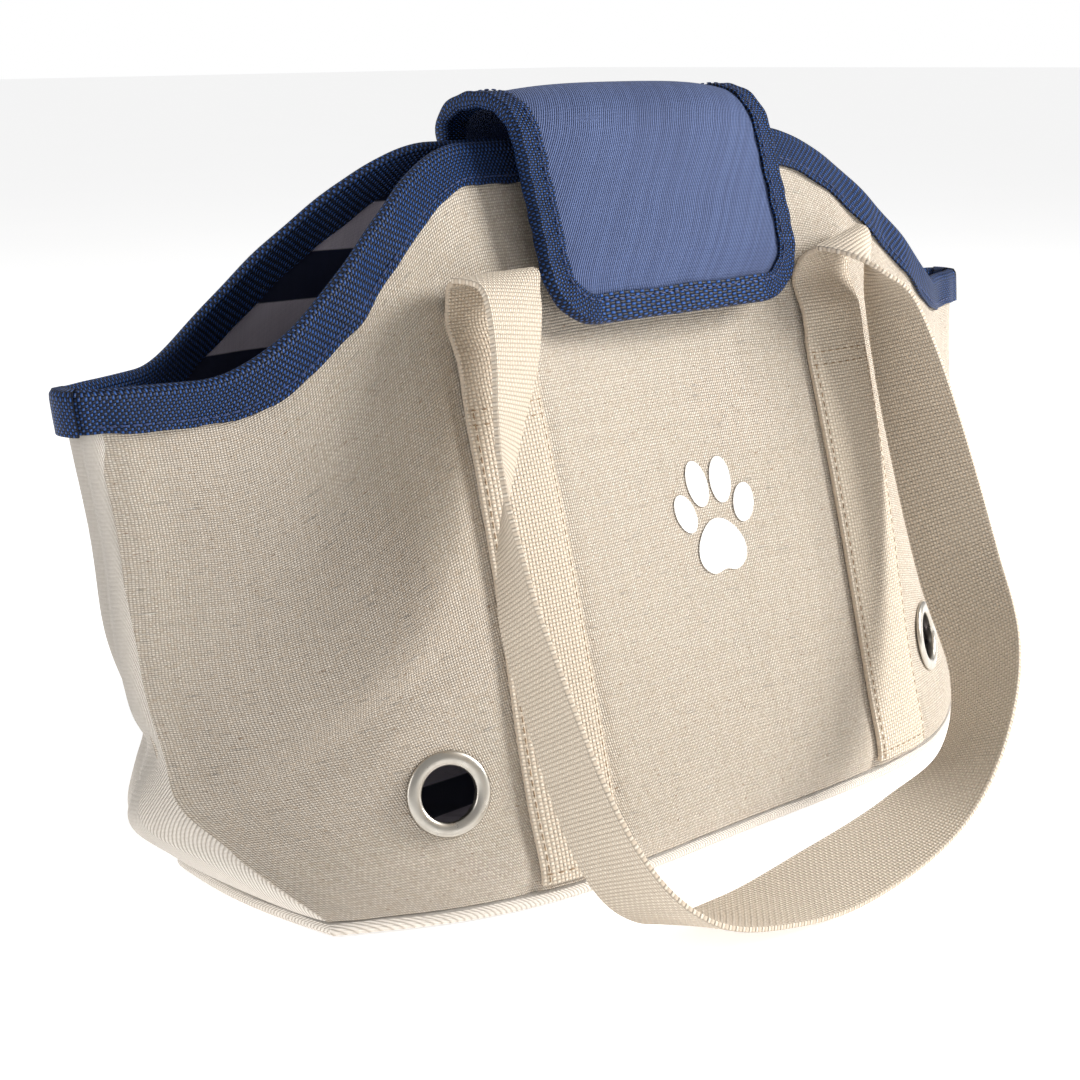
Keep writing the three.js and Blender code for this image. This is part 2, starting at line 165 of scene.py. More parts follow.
def facePuff(side, x, z):  # how far a face's cloth stands off the plain form
    ax = np.abs(x)
    top = rimHeight(x)
    body = np.clip((z - 8) / 30, 0, 1) * np.clip((top - z - 10) / 40, 0, 1)
    out = puff["betweenStrips"] * bump(x, 0, 52) * bump(z, 105, 75)
    for edge in (79, 119):
        out = out - puff["stripGroove"] * bump(ax, edge, 4) * (z < 190)
    out = out + 1.8 * bump(ax, 185, 34) * bump(z, 95, 50) - 2.6 * bump(ax, 142, 16) * bump(z, 150, 34)
    outer = np.clip((ax - 105) / 40, 0.15, 1)
    out = out + puff["drag"] * ripple(x * 0.55 + z * 0.5, z * 0.5, 1.3 + side) * body * outer
    across = (ax - 140) * 0.586 + (z - 95) * 0.81  # a soft fold runs down to each lower corner
    along = (ax - 140) * 0.81 - (z - 95) * 0.586
    out = out + puff["fold"] * bump(along, 40, 34) * (0.6 * bump(across, 17, 10) - bump(across, 0, 7.5))
    out = out + puff["baseSag"] * bump(z, 17, 11) * (0.75 + 0.25 * np.sin(x / 17 + side))
    out = out - 1.2 * bump(z, form["foot"], 3.2)
    near = np.clip(1 - (top - 14 * np.hypot(1, 0.8 * (ax > 90) * (ax < 215)) - z) / 26, 0, 1)
    out = out + puff["rimPucker"] * near * np.sin(x / 5.3 + 2 * np.sin(x / 23))
    edgeGap = np.maximum(seamLength(z) - ax, 0)
    out = out - puff["edgeRoll"] * np.exp(-edgeGap / 2.2) * np.clip(z / 12 - 0.5, 0, 1)
    out = out + 0.7 * bump(edgeGap, 9, 5)
    away = np.hypot(ax - eyelet["x"], z - eyelet["z"])
    keep = np.clip((away - 17) / 12, 0, 1)
    strip = np.clip((np.abs(ax - webbing["centre"]) - 12) / 10, 0.25, 1)
    return out * keep * strip - 0.5 * bump(away, 21, 4)


def faceOut(side, x, z):
    return halfDepth(x, z) + facePuff(side, x, z)


def faceNormal(side, x, z, reach=2.0):
    along = (faceOut(side, x + reach, z) - faceOut(side, x - reach, z)) / (2 * reach)
    up = (faceOut(side, x, z + reach) - faceOut(side, x, z - reach)) / (2 * reach)
    n = np.stack([-along, side * np.ones_like(along), -up], -1)
    return n / np.linalg.norm(n, axis=-1, keepdims=True)


def onlySelect(*pieces):
    if bpy.context.object and bpy.context.object.mode != "OBJECT":
        bpy.ops.object.mode_set(mode="OBJECT")
    bpy.ops.object.select_all(action="DESELECT")
    for piece in pieces:
        piece.select_set(True)
    bpy.context.view_layer.objects.active = pieces[0] if pieces else None


def applyAll(piece):
    onlySelect(piece)
    for modifier in list(piece.modifiers):
        bpy.ops.object.modifier_apply(modifier=modifier.name)


def smooth(piece, angle=None):
    onlySelect(piece)
    if angle is None:
        bpy.ops.object.shade_smooth()
    else:
        bpy.ops.object.shade_smooth_by_angle(angle=math.radians(angle))


def roundEdges(piece):
    edge = piece.modifiers.new("edge", "BEVEL")
    edge.width = 0.0005
    edge.segments = 2
    applyAll(piece)


def arcLengths(points):
    return np.concatenate([[0], np.cumsum(np.linalg.norm(np.diff(points, axis=0), axis=1))])


def alongLine(points, length, at):
    return np.stack([np.interp(at, length, points[:, k]) for k in range(3)], -1)


def outward(piece):
    onlySelect(piece)
    bpy.ops.object.mode_set(mode="EDIT")
    bpy.ops.mesh.select_all(action="SELECT")
    bpy.ops.mesh.remove_doubles(threshold=0.00002)
    bpy.ops.mesh.normals_make_consistent(inside=False)
    bpy.ops.object.mode_set(mode="OBJECT")


# place(u, v) gives points in millimetres; wide and tall scale the weave's map.
def clothGrid(name, columns, rows, place, wide, tall, thick=0.0, offset=-1, holes=(), flip=False):
    bpy.ops.object.select_all(action="DESELECT")
    bpy.ops.mesh.primitive_grid_add(x_subdivisions=columns, y_subdivisions=rows, size=2)
    piece = bpy.context.object
    piece.name = piece.data.name = name
    mesh = piece.data
    co = np.empty(len(mesh.vertices) * 3)
    mesh.vertices.foreach_get("co", co)
    co = co.reshape(-1, 3)
    u = (co[:, 0] + 1) / 2
    v = (co[:, 1] + 1) / 2
    points = settled(place(u, v))
    mesh.vertices.foreach_set("co", (points * mm).ravel())
    loops = np.empty(len(mesh.loops), int)
    mesh.loops.foreach_get("vertex_index", loops)
    layer = mesh.uv_layers.active or mesh.uv_layers.new(name="UVMap")
    layer.name = "UVMap"
    uv = np.stack([u[loops] * wide, v[loops] * tall], -1) * mm
    layer.data.foreach_set("uv", uv.ravel())
    mesh.update()
    if holes:
        onlySelect(piece)
        bpy.ops.object.mode_set(mode="EDIT")
        bpy.ops.mesh.select_all(action="DESELECT")
        bpy.ops.object.mode_set(mode="OBJECT")
        inside = np.zeros(len(points), bool)
        for hx, hz in holes:
            inside |= np.hypot(points[:, 0] - hx, points[:, 2] - hz) < eyelet["hole"] + 0.5
        for polygon in mesh.polygons:
            polygon.select = bool(inside[list(polygon.vertices)].any())
        bpy.ops.object.mode_set(mode="EDIT")
        bpy.ops.mesh.select_mode(type="FACE")
        bpy.ops.mesh.delete(type="FACE")
        bpy.ops.object.mode_set(mode="OBJECT")
    if flip:
        onlySelect(piece)
        bpy.ops.object.mode_set(mode="EDIT")
        bpy.ops.mesh.select_all(action="SELECT")
        bpy.ops.mesh.flip_normals()
        bpy.ops.object.mode_set(mode="OBJECT")
    if thick:
        wall = piece.modifiers.new("wall", "SOLIDIFY")
        wall.thickness = thick * mm
        wall.offset = offset
        wall.use_quality_normals = True
        applyAll(piece)
    smooth(piece, 50)
    return piece


def paint(piece, material):
    piece.data.materials.clear()
    piece.data.materials.append(material)


def dress(piece, body, material, slot, *nodes):
    paint(piece, material)
    if body:
        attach(piece, body)
    if nodes:
        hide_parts(*nodes)
    return piece


def joined(name, pieces):
    onlySelect(*pieces)
    bpy.ops.object.join()
    piece = bpy.context.object
    piece.name = piece.data.name = name
    return piece


class Nodes:  # short hand for wiring one node tree
    def __init__(self, tree):
        self.tree = tree

    def add(self, kind, **values):
        node = self.tree.nodes.new(kind)
        for key, value in values.items():
            setattr(node, key, value)
        return node

    def put(self, socket, value):
        if isinstance(value, bpy.types.NodeSocket):
            self.tree.links.new(value, socket)
        else:
            socket.default_value = value

    def math(self, operation, a, b=None, c=None, clamp=False):
        node = self.add("ShaderNodeMath", operation=operation, use_clamp=clamp)
        for socket, value in zip(node.inputs, (a, b, c)):
            if value is not None:
                self.put(socket, value)
        return node.outputs[0]

    def plus(self, a, b):
        return self.math("ADD", a, b)

    def minus(self, a, b):
        return self.math("SUBTRACT", a, b)

    def times(self, a, b, clamp=False):
        return self.math("MULTIPLY", a, b, clamp=clamp)

    def ratio(self, a, b):
        return self.math("DIVIDE", a, b)

    def mix(self, factor, a, b):
        node = self.add("ShaderNodeMix", data_type="RGBA")
        self.put(node.inputs[0], factor)
        self.put(node.inputs[6], a)
        self.put(node.inputs[7], b)
        return node.outputs[2]

    def noise(self, vector, scale, detail=2.0, stretch=None):
        if stretch is not None:
            mapping = self.add("ShaderNodeMapping")
            self.put(mapping.inputs["Vector"], vector)
            mapping.inputs["Scale"].default_value = stretch
            vector = mapping.outputs[0]
        node = self.add("ShaderNodeTexNoise")
        self.put(node.inputs["Vector"], vector)
        node.inputs["Scale"].default_value = scale
        node.inputs["Detail"].default_value = detail
        return node.outputs[0]

    def split(self, vector):
        node = self.add("ShaderNodeSeparateXYZ")
        self.put(node.inputs[0], vector)
        return node.outputs

    def range(self, value, low, high, toLow=0.0, toHigh=1.0):
        node = self.add("ShaderNodeMapRange", clamp=True)
        for socket, item in zip(node.inputs, (value, low, high, toLow, toHigh)):
            self.put(socket, item)
        return node.outputs[0]


def newGroup(name, inputs, outputs):
    tree = bpy.data.node_groups.new(name, "ShaderNodeTree")
    for label, kind, value in inputs:
        socket = tree.interface.new_socket(name=label, in_out="INPUT", socket_type=kind)
        if value is not None:
            socket.default_value = value
    for label, kind in outputs:
        tree.interface.new_socket(name=label, in_out="OUTPUT", socket_type=kind)
    source = tree.nodes.new("NodeGroupInput")
    sink = tree.nodes.new("NodeGroupOutput")
    return tree, Nodes(tree), source.outputs, sink.inputs


def makePlainWeave():  # over and under threads, each with its own tone, and the gaps between them where the cloths paint shade
    tree, n, given, out = newGroup(
        "plainWeave",
        [
            ("Vector", "NodeSocketVector", None),
            ("Across", "NodeSocketFloat", 0.001),
            ("Along", "NodeSocketFloat", 0.001),
            ("Uneven", "NodeSocketFloat", 0.2),
            ("Weft", "NodeSocketFloat", 1.0),
        ],
        [(label, "NodeSocketFloat") for label in ("Height", "Thread", "Gap", "Knot")],
    )
    x, y, _ = n.split(given["Vector"])
    wander = n.minus(n.noise(given["Vector"], 90, 2), 0.5)
    wanderToo = n.minus(n.noise(given["Vector"], 70, 2, (1, -1, 1)), 0.5)
    u = n.plus(n.ratio(x, given["Across"]), n.times(wander, n.times(given["Uneven"], 6.0)))
    v = n.plus(n.ratio(y, given["Along"]), n.times(wanderToo, n.times(given["Uneven"], 6.0)))
    fu, fv = n.math("FRACT", u), n.math("FRACT", v)
    iu, iv = n.math("FLOOR", u), n.math("FLOOR", v)
    over = n.math("FLOORED_MODULO", n.plus(iu, iv), 2.0)
    su = n.math("SINE", n.times(fu, math.pi))
    sv = n.math("SINE", n.times(fv, math.pi))
    warp = n.times(n.math("POWER", su, 0.6), n.math("MULTIPLY_ADD", sv, 0.5, 0.5))
    weft = n.times(n.math("POWER", sv, 0.6), n.math("MULTIPLY_ADD", su, 0.5, 0.5))
    under = n.minus(1.0, over)
    height = n.plus(n.times(over, warp), n.times(under, n.times(weft, given["Weft"])))
    own = n.add("ShaderNodeTexWhiteNoise", noise_dimensions="1D")
    n.put(own.inputs["W"], iu)
    other = n.add("ShaderNodeTexWhiteNoise", noise_dimensions="1D")
    n.put(other.inputs["W"], n.plus(iv, 311.5))
    thread = n.plus(n.times(over, own.outputs[0]), n.times(under, other.outputs[0]))
    cell = n.add("ShaderNodeCombineXYZ")
    n.put(cell.inputs[0], iu)
    n.put(cell.inputs[1], iv)
    knot = n.add("ShaderNodeTexWhiteNoise", noise_dimensions="2D")
    n.put(knot.inputs["Vector"], cell.outputs[0])
    n.put(out["Height"], height)
    n.put(out["Thread"], thread)
    n.put(out["Gap"], n.range(height, 0.85, 0.2))
    n.put(out["Knot"], knot.outputs[0])
    return tree


def makeRibs():  # slanted ribs, which turn back on themselves in bands when Band is above zero
    tree, n, given, out = newGroup(
        "slantedRibs",
        [
            ("Vector", "NodeSocketVector", None),
            ("Pitch", "NodeSocketFloat", 0.001),
            ("Slant", "NodeSocketFloat", 1.0),
            ("Band", "NodeSocketFloat", 0.004),
            ("Fold", "NodeSocketFloat", 0.0),
        ],
        [(label, "NodeSocketFloat") for label in ("Height", "Thread", "Gap")],
    )
    x, y, _ = n.split(given["Vector"])
    band = n.ratio(y, given["Band"])
    zigzag = n.times(n.math("PINGPONG", band, 1.0), given["Band"])
    rise = n.plus(n.times(zigzag, given["Fold"]), n.times(y, n.minus(1.0, given["Fold"])))
    wobble = n.times(n.minus(n.noise(given["Vector"], 160, 1), 0.5), 0.12)
    t = n.plus(n.ratio(n.math("MULTIPLY_ADD", rise, given["Slant"], x), given["Pitch"]), wobble)
    wave = n.math("SINE", n.times(n.math("FRACT", t), math.pi))
    beads = n.math("SINE", n.times(n.math("FRACT", n.ratio(y, n.times(given["Pitch"], 1.1))), math.pi))
    height = n.times(n.math("POWER", wave, 0.7), n.math("MULTIPLY_ADD", beads, 0.3, 0.7))
    own = n.add("ShaderNodeTexWhiteNoise", noise_dimensions="1D")
    n.put(own.inputs["W"], n.math("FLOOR", t))
    n.put(out["Height"], height)
    n.put(out["Thread"], own.outputs[0])
    n.put(out["Gap"], n.range(height, 0.8, 0.1))
    return tree


def makeDyedCloth():  # a cloth's colour, from its dye, its threads and soft handling marks, with painted shade in the gaps between threads
    tree, n, given, out = newGroup(
        "dyedCloth",
        [
            ("Vector", "NodeSocketVector", None),
            ("Color", "NodeSocketColor", (0.8, 0.8, 0.8, 1)),
            ("Deep", "NodeSocketColor", (0.3, 0.3, 0.3, 1)),
            ("Thread", "NodeSocketFloat", 0.5),
            ("Gap", "NodeSocketFloat", 0.0),
            ("Hollow", "NodeSocketFloat", 0.55),
            ("Streak", "NodeSocketFloat", 0.15),
            ("Soil", "NodeSocketFloat", 0.1),
        ],
        [("Color", "NodeSocketColor")],
    )
    threadTone = n.times(n.minus(0.75, given["Thread"]), given["Streak"], clamp=True)
    color = n.mix(threadTone, given["Color"], given["Deep"])
    marks = n.range(n.noise(given["Vector"], 14, 4), 0.45, 0.75)
    color = n.mix(n.times(marks, given["Soil"]), color, given["Deep"])
    # painted shade: the low gaps between threads are darkened towards the deep colour
    color = n.mix(n.times(given["Gap"], given["Hollow"]), color, given["Deep"])
    n.put(out["Color"], color)
    return tree


plainWeave = makePlainWeave()
slantedRibs = makeRibs()
dyedCloth = makeDyedCloth()


def rgb(r, g, b):  # a colour given in 0 to 255 as seen
    return tuple(((c / 255 + 0.055) / 1.055) ** 2.4 if c > 10 else c / 3294.6 for c in (r, g, b)) + (1.0,)


def newMaterial(name, rough, metallic=0.0, sheen=0.0, specular=0.5):
    material = bpy.data.materials.new(name)
    material.use_nodes = True
    n = Nodes(material.node_tree)
    shader = material.node_tree.nodes["Principled BSDF"]
    shader.inputs["Roughness"].default_value = rough
    shader.inputs["Metallic"].default_value = metallic
    shader.inputs["Sheen Weight"].default_value = sheen
    shader.inputs["Sheen Roughness"].default_value = 0.6
    shader.inputs["Specular IOR Level"].default_value = specular
    return material, n, shader


def useGroup(n, tree, **values):
    node = n.add("ShaderNodeGroup")
    node.node_tree = tree
    for key, value in values.items():
        n.put(node.inputs[key], value)
    return node.outputs


def addBump(n, shader, height, strength, depth):
    node = n.add("ShaderNodeBump")
    n.put(node.inputs["Height"], height)
    node.inputs["Strength"].default_value = strength
    node.inputs["Distance"].default_value = depth
    n.put(shader.inputs["Normal"], node.outputs[0])


def uvOf(n):
    return n.add("ShaderNodeTexCoord").outputs["UV"]


def objectOf(n):
    return n.add("ShaderNodeTexCoord").outputs["Object"]


def dyedBy(n, uv, threads, color, deep, **marks):
    weave = {"Thread": threads["Thread"], "Gap": threads["Gap"]}
    return useGroup(n, dyedCloth, Vector=uv, Color=color, Deep=deep, **weave, **marks)["Color"]


# Its last argument is how much painted shade darkens the gaps between threads.
def clothMaterial(name, weave, sizes, color, deep, rough, streak, soil, strength, depth, sheen=0.15, gapShade=0.55):
    material, n, shader = newMaterial(name, rough, sheen=sheen, specular=0.25)
    uv = uvOf(n)
    threads = useGroup(n, weave, Vector=uv, **sizes)
    dyed = dyedBy(n, uv, threads, color, deep, Hollow=gapShade, Streak=streak, Soil=soil)
    n.put(shader.inputs["Base Color"], dyed)
    roughness = n.math("MULTIPLY_ADD", threads["Gap"], 0.08, rough)
    n.put(shader.inputs["Roughness"], roughness)
    addBump(n, shader, threads["Height"], strength, depth)
    return material


linenWeave = {"Across": 0.0011, "Along": 0.0011, "Uneven": 0.14, "Weft": 0.75}


def makeLinen():
    material, n, shader = newMaterial("slubLinen", 0.9, sheen=0.1, specular=0.2)
    uv = uvOf(n)
    threads = useGroup(n, plainWeave, Vector=uv, **linenWeave)
    slub = n.range(n.noise(uv, 1, 2, (90, 800, 1)), 0.66, 0.76)
    slubUp = n.range(n.noise(uv, 1, 2, (800, 90, 1)), 0.70, 0.80)
    fleck = n.range(n.noise(uv, 1, 2, (300, 900, 1)), 0.66, 0.74)
    cloudy = n.noise(uv, 26, 3)
    flax, shadow = rgb(243, 233, 219), rgb(132, 112, 90)
    # the shadow colour darkens random threads and soft soil marks, and fills the thread gaps as painted shade
    dyed = dyedBy(n, uv, threads, flax, shadow, Hollow=0.62, Streak=0.20, Soil=0.05)
    grain = n.times(n.range(threads["Knot"], 0.35, 1.0), 0.42)
    color = n.mix(grain, dyed, rgb(168, 148, 124))
    color = n.mix(n.times(fleck, 0.7), color, rgb(132, 98, 66))
    color = n.mix(n.times(n.math("MAXIMUM", slub, slubUp), 0.55), color, rgb(246, 240, 230))
    color = n.mix(n.times(cloudy, 0.10), color, rgb(190, 172, 148))
    n.put(shader.inputs["Base Color"], color)
    knobs = n.times(threads["Height"], n.range(threads["Knot"], 0.0, 1.0, 1.15, 0.6))
    height = n.plus(knobs, n.times(n.plus(slub, slubUp), 0.8))
    addBump(n, shader, height, 1.0, 0.0008)
    return material


stripes = {
    "navy": rgb(30, 38, 68),
    "pale": rgb(232, 224, 232),
    "repeat": 36.0,
    "shift": 15.5,
    "cushionRepeat": 54.0,
    "cushionShift": 6.0,
}


def makeStriped(name, axis, repeat, shift, pitch, sheen):  # plain weave in broad bands across one axis
    material, n, shader = newMaterial(name, 0.75, sheen=sheen, specular=0.3)
    uv = uvOf(n)
    threads = useGroup(n, plainWeave, Vector=uv, Across=pitch, Along=pitch, Uneven=0.1)
    level = n.split(objectOf(n))[axis]
    waves = n.math("FRACT", n.ratio(n.plus(level, shift * mm), repeat * mm))
    pale = n.times(n.range(waves, 0.0, 0.015), n.range(waves, 0.5, 0.485))
    bands = []
    for color, deep in ((stripes["navy"], rgb(12, 16, 34)), (stripes["pale"], rgb(160, 150, 165))):
        # each band's thread gaps get the default painted shade towards its deep colour
        bands.append(dyedBy(n, uv, threads, color, deep, Streak=0.35, Soil=0.15))
    n.put(shader.inputs["Base Color"], n.mix(pale, *bands))
    addBump(n, shader, threads["Height"], 0.35, 0.00015)
    return material


linen = makeLinen()
lining = makeStriped("stripedLining", 2, stripes["repeat"], stripes["shift"], 0.0005, 0.05)
cushionCloth = makeStriped(
    "stripedCushion", 1, stripes["cushionRepeat"], stripes["cushionShift"], 0.0007, 0.15
)
# painted shade: the twill's thread gaps are darkened towards its deep colour at the default strength
twill = clothMaterial(
    "coarseTwill",
    slantedRibs,
    {"Pitch": 0.0014, "Slant": 1.1},
    rgb(238, 230, 220),
    rgb(172, 156, 134),
    rough=0.85,
    streak=0.06,
    soil=0.06,
    strength=0.9,
    depth=0.0006,
)
# painted shade: the warm deep colour, darkened to match the webbing's shaded side, fills the thread gaps and also
# tints random threads
webbingCloth = clothMaterial(
    "cottonWebbing",
    plainWeave,
    {"Across": 0.0016, "Along": 0.0014, "Uneven": 0.03, "Weft": 0.45},
    rgb(242, 230, 212),
    rgb(158, 130, 100),
    rough=0.85,
    streak=0.10,
    soil=0.05,
    strength=1.0,
    depth=0.0012,
    sheen=0.1,
    gapShade=0.45,
)
# painted shade: the tape's thread gaps are filled fully with its near-black deep colour
rimTape = clothMaterial(
    "ribbedTape",
    plainWeave,
    {"Across": 0.0012, "Along": 0.0012, "Uneven": 0.03, "Weft": 0.3},
    rgb(52, 96, 172),
    rgb(1, 4, 14),
    rough=0.38,
    streak=0.25,
    soil=0.10,
    strength=1.0,
    depth=0.0013,
    sheen=0.0,
    gapShade=1.0,
)
# painted shade: the flap's rib gaps are darkened strongly towards its deep navy
flapCloth = clothMaterial(
    "flapCanvas",
    slantedRibs,
    {"Pitch": 0.0011, "Slant": 0.75},
    rgb(84, 103, 150),
    rgb(30, 42, 82),
    rough=0.55,
    streak=0.35,
    soil=0.2,
    strength=1.0,
    depth=0.0006,
    sheen=0.08,
    gapShade=0.8,
)


def threadMaterial(name, color, deep):
    material, n, shader = newMaterial(name, 0.6, sheen=0.1)
    place = objectOf(n)
    ply = n.noise(place, 1800, 1)
    n.put(shader.inputs["Base Color"], n.mix(n.range(ply, 0.35, 0.65), color, deep))
    addBump(n, shader, ply, 0.4, 0.0001)
    return material


# The webbing's stitch thread is darker than the cream cloth: painted shade of the stitch holes along the strip
# edges.
shadedFlaxThread = threadMaterial("shadedFlaxThread", rgb(176, 150, 118), rgb(120, 96, 70))
blueThread = threadMaterial("blueThread", rgb(44, 70, 128), rgb(22, 36, 78))


def makeNickel():
    material, n, shader = newMaterial("satinNickel", 0.3, metallic=1.0)
    place = objectOf(n)
    haze = n.noise(place, 220, 4)
    scratch = n.noise(place, 1, 3, (900, 900, 4000))
    n.put(shader.inputs["Base Color"], n.mix(haze, rgb(206, 201, 192), rgb(178, 172, 162)))
    n.put(shader.inputs["Roughness"], n.range(haze, 0.3, 0.7, 0.24, 0.4))
    addBump(n, shader, scratch, 0.08, 0.0001)
    return material


nickel = makeNickel()


def makeHookTape(name, color, deep, scale):
    material, n, shader = newMaterial(name, 0.85, sheen=0.3)
    uv = uvOf(n)
    fuzz = n.noise(uv, scale, 3)
    n.put(shader.inputs["Base Color"], n.mix(n.range(fuzz, 0.35, 0.65), color, deep))
    addBump(n, shader, fuzz, 1.0, 0.0006)
    return material


hookTape = makeHookTape("hookTape", rgb(34, 42, 70), rgb(12, 16, 30), 1500)
loopTape = makeHookTape("loopTape", rgb(214, 202, 182), rgb(160, 144, 118), 900)


def makeBoard():
    material, n, shader = newMaterial("boardPlastic", 0.5)
    place = objectOf(n)
    grain = n.noise(place, 600, 3)
    n.put(shader.inputs["Base Color"], n.mix(grain, rgb(60, 60, 62), rgb(40, 40, 42)))
    addBump(n, shader, grain, 0.3, 0.0002)
    return material


def makePrint():  # soft white ink that sits on the threads
    material, n, shader = newMaterial("whitePrint", 0.7)
    uv = uvOf(n)
    threads = useGroup(n, plainWeave, Vector=uv, **linenWeave)
    worn = n.range(n.noise(uv, 700, 3), 0.62, 0.78)
    n.put(shader.inputs["Base Color"], n.mix(n.times(worn, 0.5), rgb(250, 249, 246), rgb(222, 210, 190)))
    addBump(n, shader, threads["Height"], 0.5, 0.00025)
    return material


whitePrint = makePrint()
print("finishes made")


faceDetail = {"columns": 210, "rows": 96, "thick": 1.6}


def facePlace(side, inset, foot, trim, layerPuff=1.0, top=0.0):
    def place(u, v):
        across = 2 * u - 1
        xTop = across * form["topHalfLength"]
        z = foot + v * (rimHeight(xTop) - top - foot)
        x = np.clip(across * seamLength(z), -(seamLength(z) - trim), seamLength(z) - trim)
        z = foot + v * (rimHeight(x) - top - foot)
        y = side * (halfDepth(x, z) + layerPuff * facePuff(side, x, z) - inset)
        return np.stack([x, y, z], -1)

    return place


eyeletSpots = [(-eyelet["x"], eyelet["z"]), (eyelet["x"], eyelet["z"])]
sides = {"front": -1, "back": 1}
ends = {"left": -1, "right": 1}
for label, side in sides.items():
    panel = clothGrid(
        f"{label}_linen_face",
        faceDetail["columns"],
        faceDetail["rows"],
        facePlace(side, 0, form["foot"], 0, top=0.5),
        520,
        270,
        faceDetail["thick"],
        holes=eyeletSpots,
        flip=side > 0,
    )
    dress(panel, "bag", linen, "linen", f"{label}_panel")
    inner = clothGrid(
        f"{label}_striped_lining",
        150,
        70,
        facePlace(side, 2.2, form["foot"] + 2, 3.6, 0.8, top=1.0),
        515,
        268,
        0.8,
        holes=eyeletSpots,
        flip=side > 0,
    )
    dress(inner, "bag", lining, "lining", f"{label}_lining")
print("faces made")


def gussetPlace(end, inset, foot, puffy):
    def place(u, v):
        z = foot + v * (form["rimEndHeight"] - 0.7 - foot)
        half = halfDepth(seamLength(z), z) + 0.25 - inset * 1.35
        y = (2 * u - 1) * half
        edge = 1 - np.abs(2 * u - 1)
        soft = np.clip(edge * 3, 0, 1)
        folds = 8.5 * bump(z, 46, 17) - 3.6 * bump(z, 76 + 4 * np.sin(y / 9), 8)
        folds = folds + 1.1 * ripple(y * 1.4, z * 0.8, 2.2 + end) * np.clip(1 - z / 120, 0.2, 1)
        folds = folds - 2.4 * bump(y - 0.35 * (60 - z), 0, 5) * bump(z, 52, 20)
        lap = 2.2 * np.exp(-edge * half / 0.9)
        x = end * (endLength(y, z) - inset - lap + puffy * soft * folds)
        return np.stack([x, y, z], -1)

    return place


for label, end in ends.items():
    outside = gussetPlace(end, 0, form["foot"], 1.0)
    gusset = clothGrid(f"{label}_twill_end", 46, 90, outside, 90, 196, 1.5, flip=end < 0)
    dress(gusset, "bag", twill, "twill", f"{label}_gusset")
    inside = gussetPlace(end, 3.6, 8.6, 0.6)
    inner = clothGrid(f"{label}_end_lining", 30, 60, inside, 86, 192, 0.8, flip=end < 0)
    dress(inner, "bag", lining, "lining", f"{label}_lining")
print("ends made")


def planOutline(z, inset, steps):  # the bag's outline at a height, as a closed ring of points
    ring = []
    faceSteps, endSteps = int(steps * 0.39), int(steps * 0.11)
    for side in (-1, 1):
        x = -side * (np.linspace(0, 1, faceSteps, endpoint=False) - 0.5) * 2 * (seamLength(z) - inset)
        ring.append(np.stack([x, side * (halfDepth(x, z) - inset)], -1))
        half = halfDepth(seamLength(z), z) - inset
        y = side * (1 - 2 * np.linspace(0, 1, endSteps, endpoint=False)) * half
        ring.append(np.stack([-side * (endLength(y, z) - inset), y], -1))
    return np.concatenate(ring)


slab = {
    "planHeight": 6.0,
    "steps": 240,
    "wave": 0.25,
    "profile": [(60, 0.25), (30, 0.1), (12, 0.0), (4, 0.0), (1.6, 0.5), (0.3, 2.0), (-0.4, 3.8)]
    + [(0.0, 5.4), (1.2, 6.2), (4, 6.3)],  # inset and height, from the middle of the floor to the top
}


def makeBase():
    outline = planOutline(slab["planHeight"], 0.0, slab["steps"])
    length = np.linalg.norm(outline, axis=1, keepdims=True)
    rings = []
    for inset, z in slab["profile"]:
        ring = outline * (1 - np.minimum(inset / length, 0.95))
        wave = slab["wave"] * np.sin(np.arange(len(ring)) * 0.55) * (1 if 1 < z < 6 else 0)
        rings.append(np.column_stack([ring, np.full(len(ring), z) + wave]))
    return ringSolid("twill_base", rings)


def ringSolid(name, rings):  # joins rings of equal length into one body, closed by a fan at each end
    count = len(rings[0])
    vertices = np.concatenate(rings)
    faces = []
    for j in range(len(rings) - 1):
        for i in range(count):
            a, b = j * count + i, j * count + (i + 1) % count
            faces.append((a, b, b + count, a + count))
    extra = []
    for rim, base, turned in ((rings[0], 0, True), (rings[-1], (len(rings) - 1) * count, False)):
        middle = len(vertices) + len(extra)
        extra.append(rim.mean(axis=0))
        for i in range(count):
            a, b = base + i, base + (i + 1) % count
            faces.append((b, a, middle) if turned else (a, b, middle))
    vertices = np.concatenate([vertices, np.array(extra)])
    mesh = bpy.data.meshes.new(name)
    mesh.from_pydata((vertices * mm).tolist(), [], faces)
    layer = mesh.uv_layers.new(name="UVMap")
    loops = np.empty(len(mesh.loops), int)
    mesh.loops.foreach_get("vertex_index", loops)
    flat = vertices[loops]
    around = np.arctan2(flat[:, 1], flat[:, 0]) * 190
    level = np.abs(flat[:, 2])
    side = (flat[:, 2] > 0.3) & (flat[:, 2] < vertices[:, 2].max() - 0.3)
    uv = np.where(side[:, None], np.stack([flat[:, 0] + flat[:, 1], level], -1), flat[:, :2])
    layer.data.foreach_set("uv", (uv * mm).ravel())
    piece = bpy.data.objects.new(name, mesh)
    bpy.context.collection.objects.link(piece)
    outward(piece)
    smooth(piece, 60)
    return piece


dress(makeBase(), "bag", twill, "twill", "base_panel")

cushionSizes = {"low": 11.7, "high": 25.0, "inset": 10.5, "fill": 0.55}


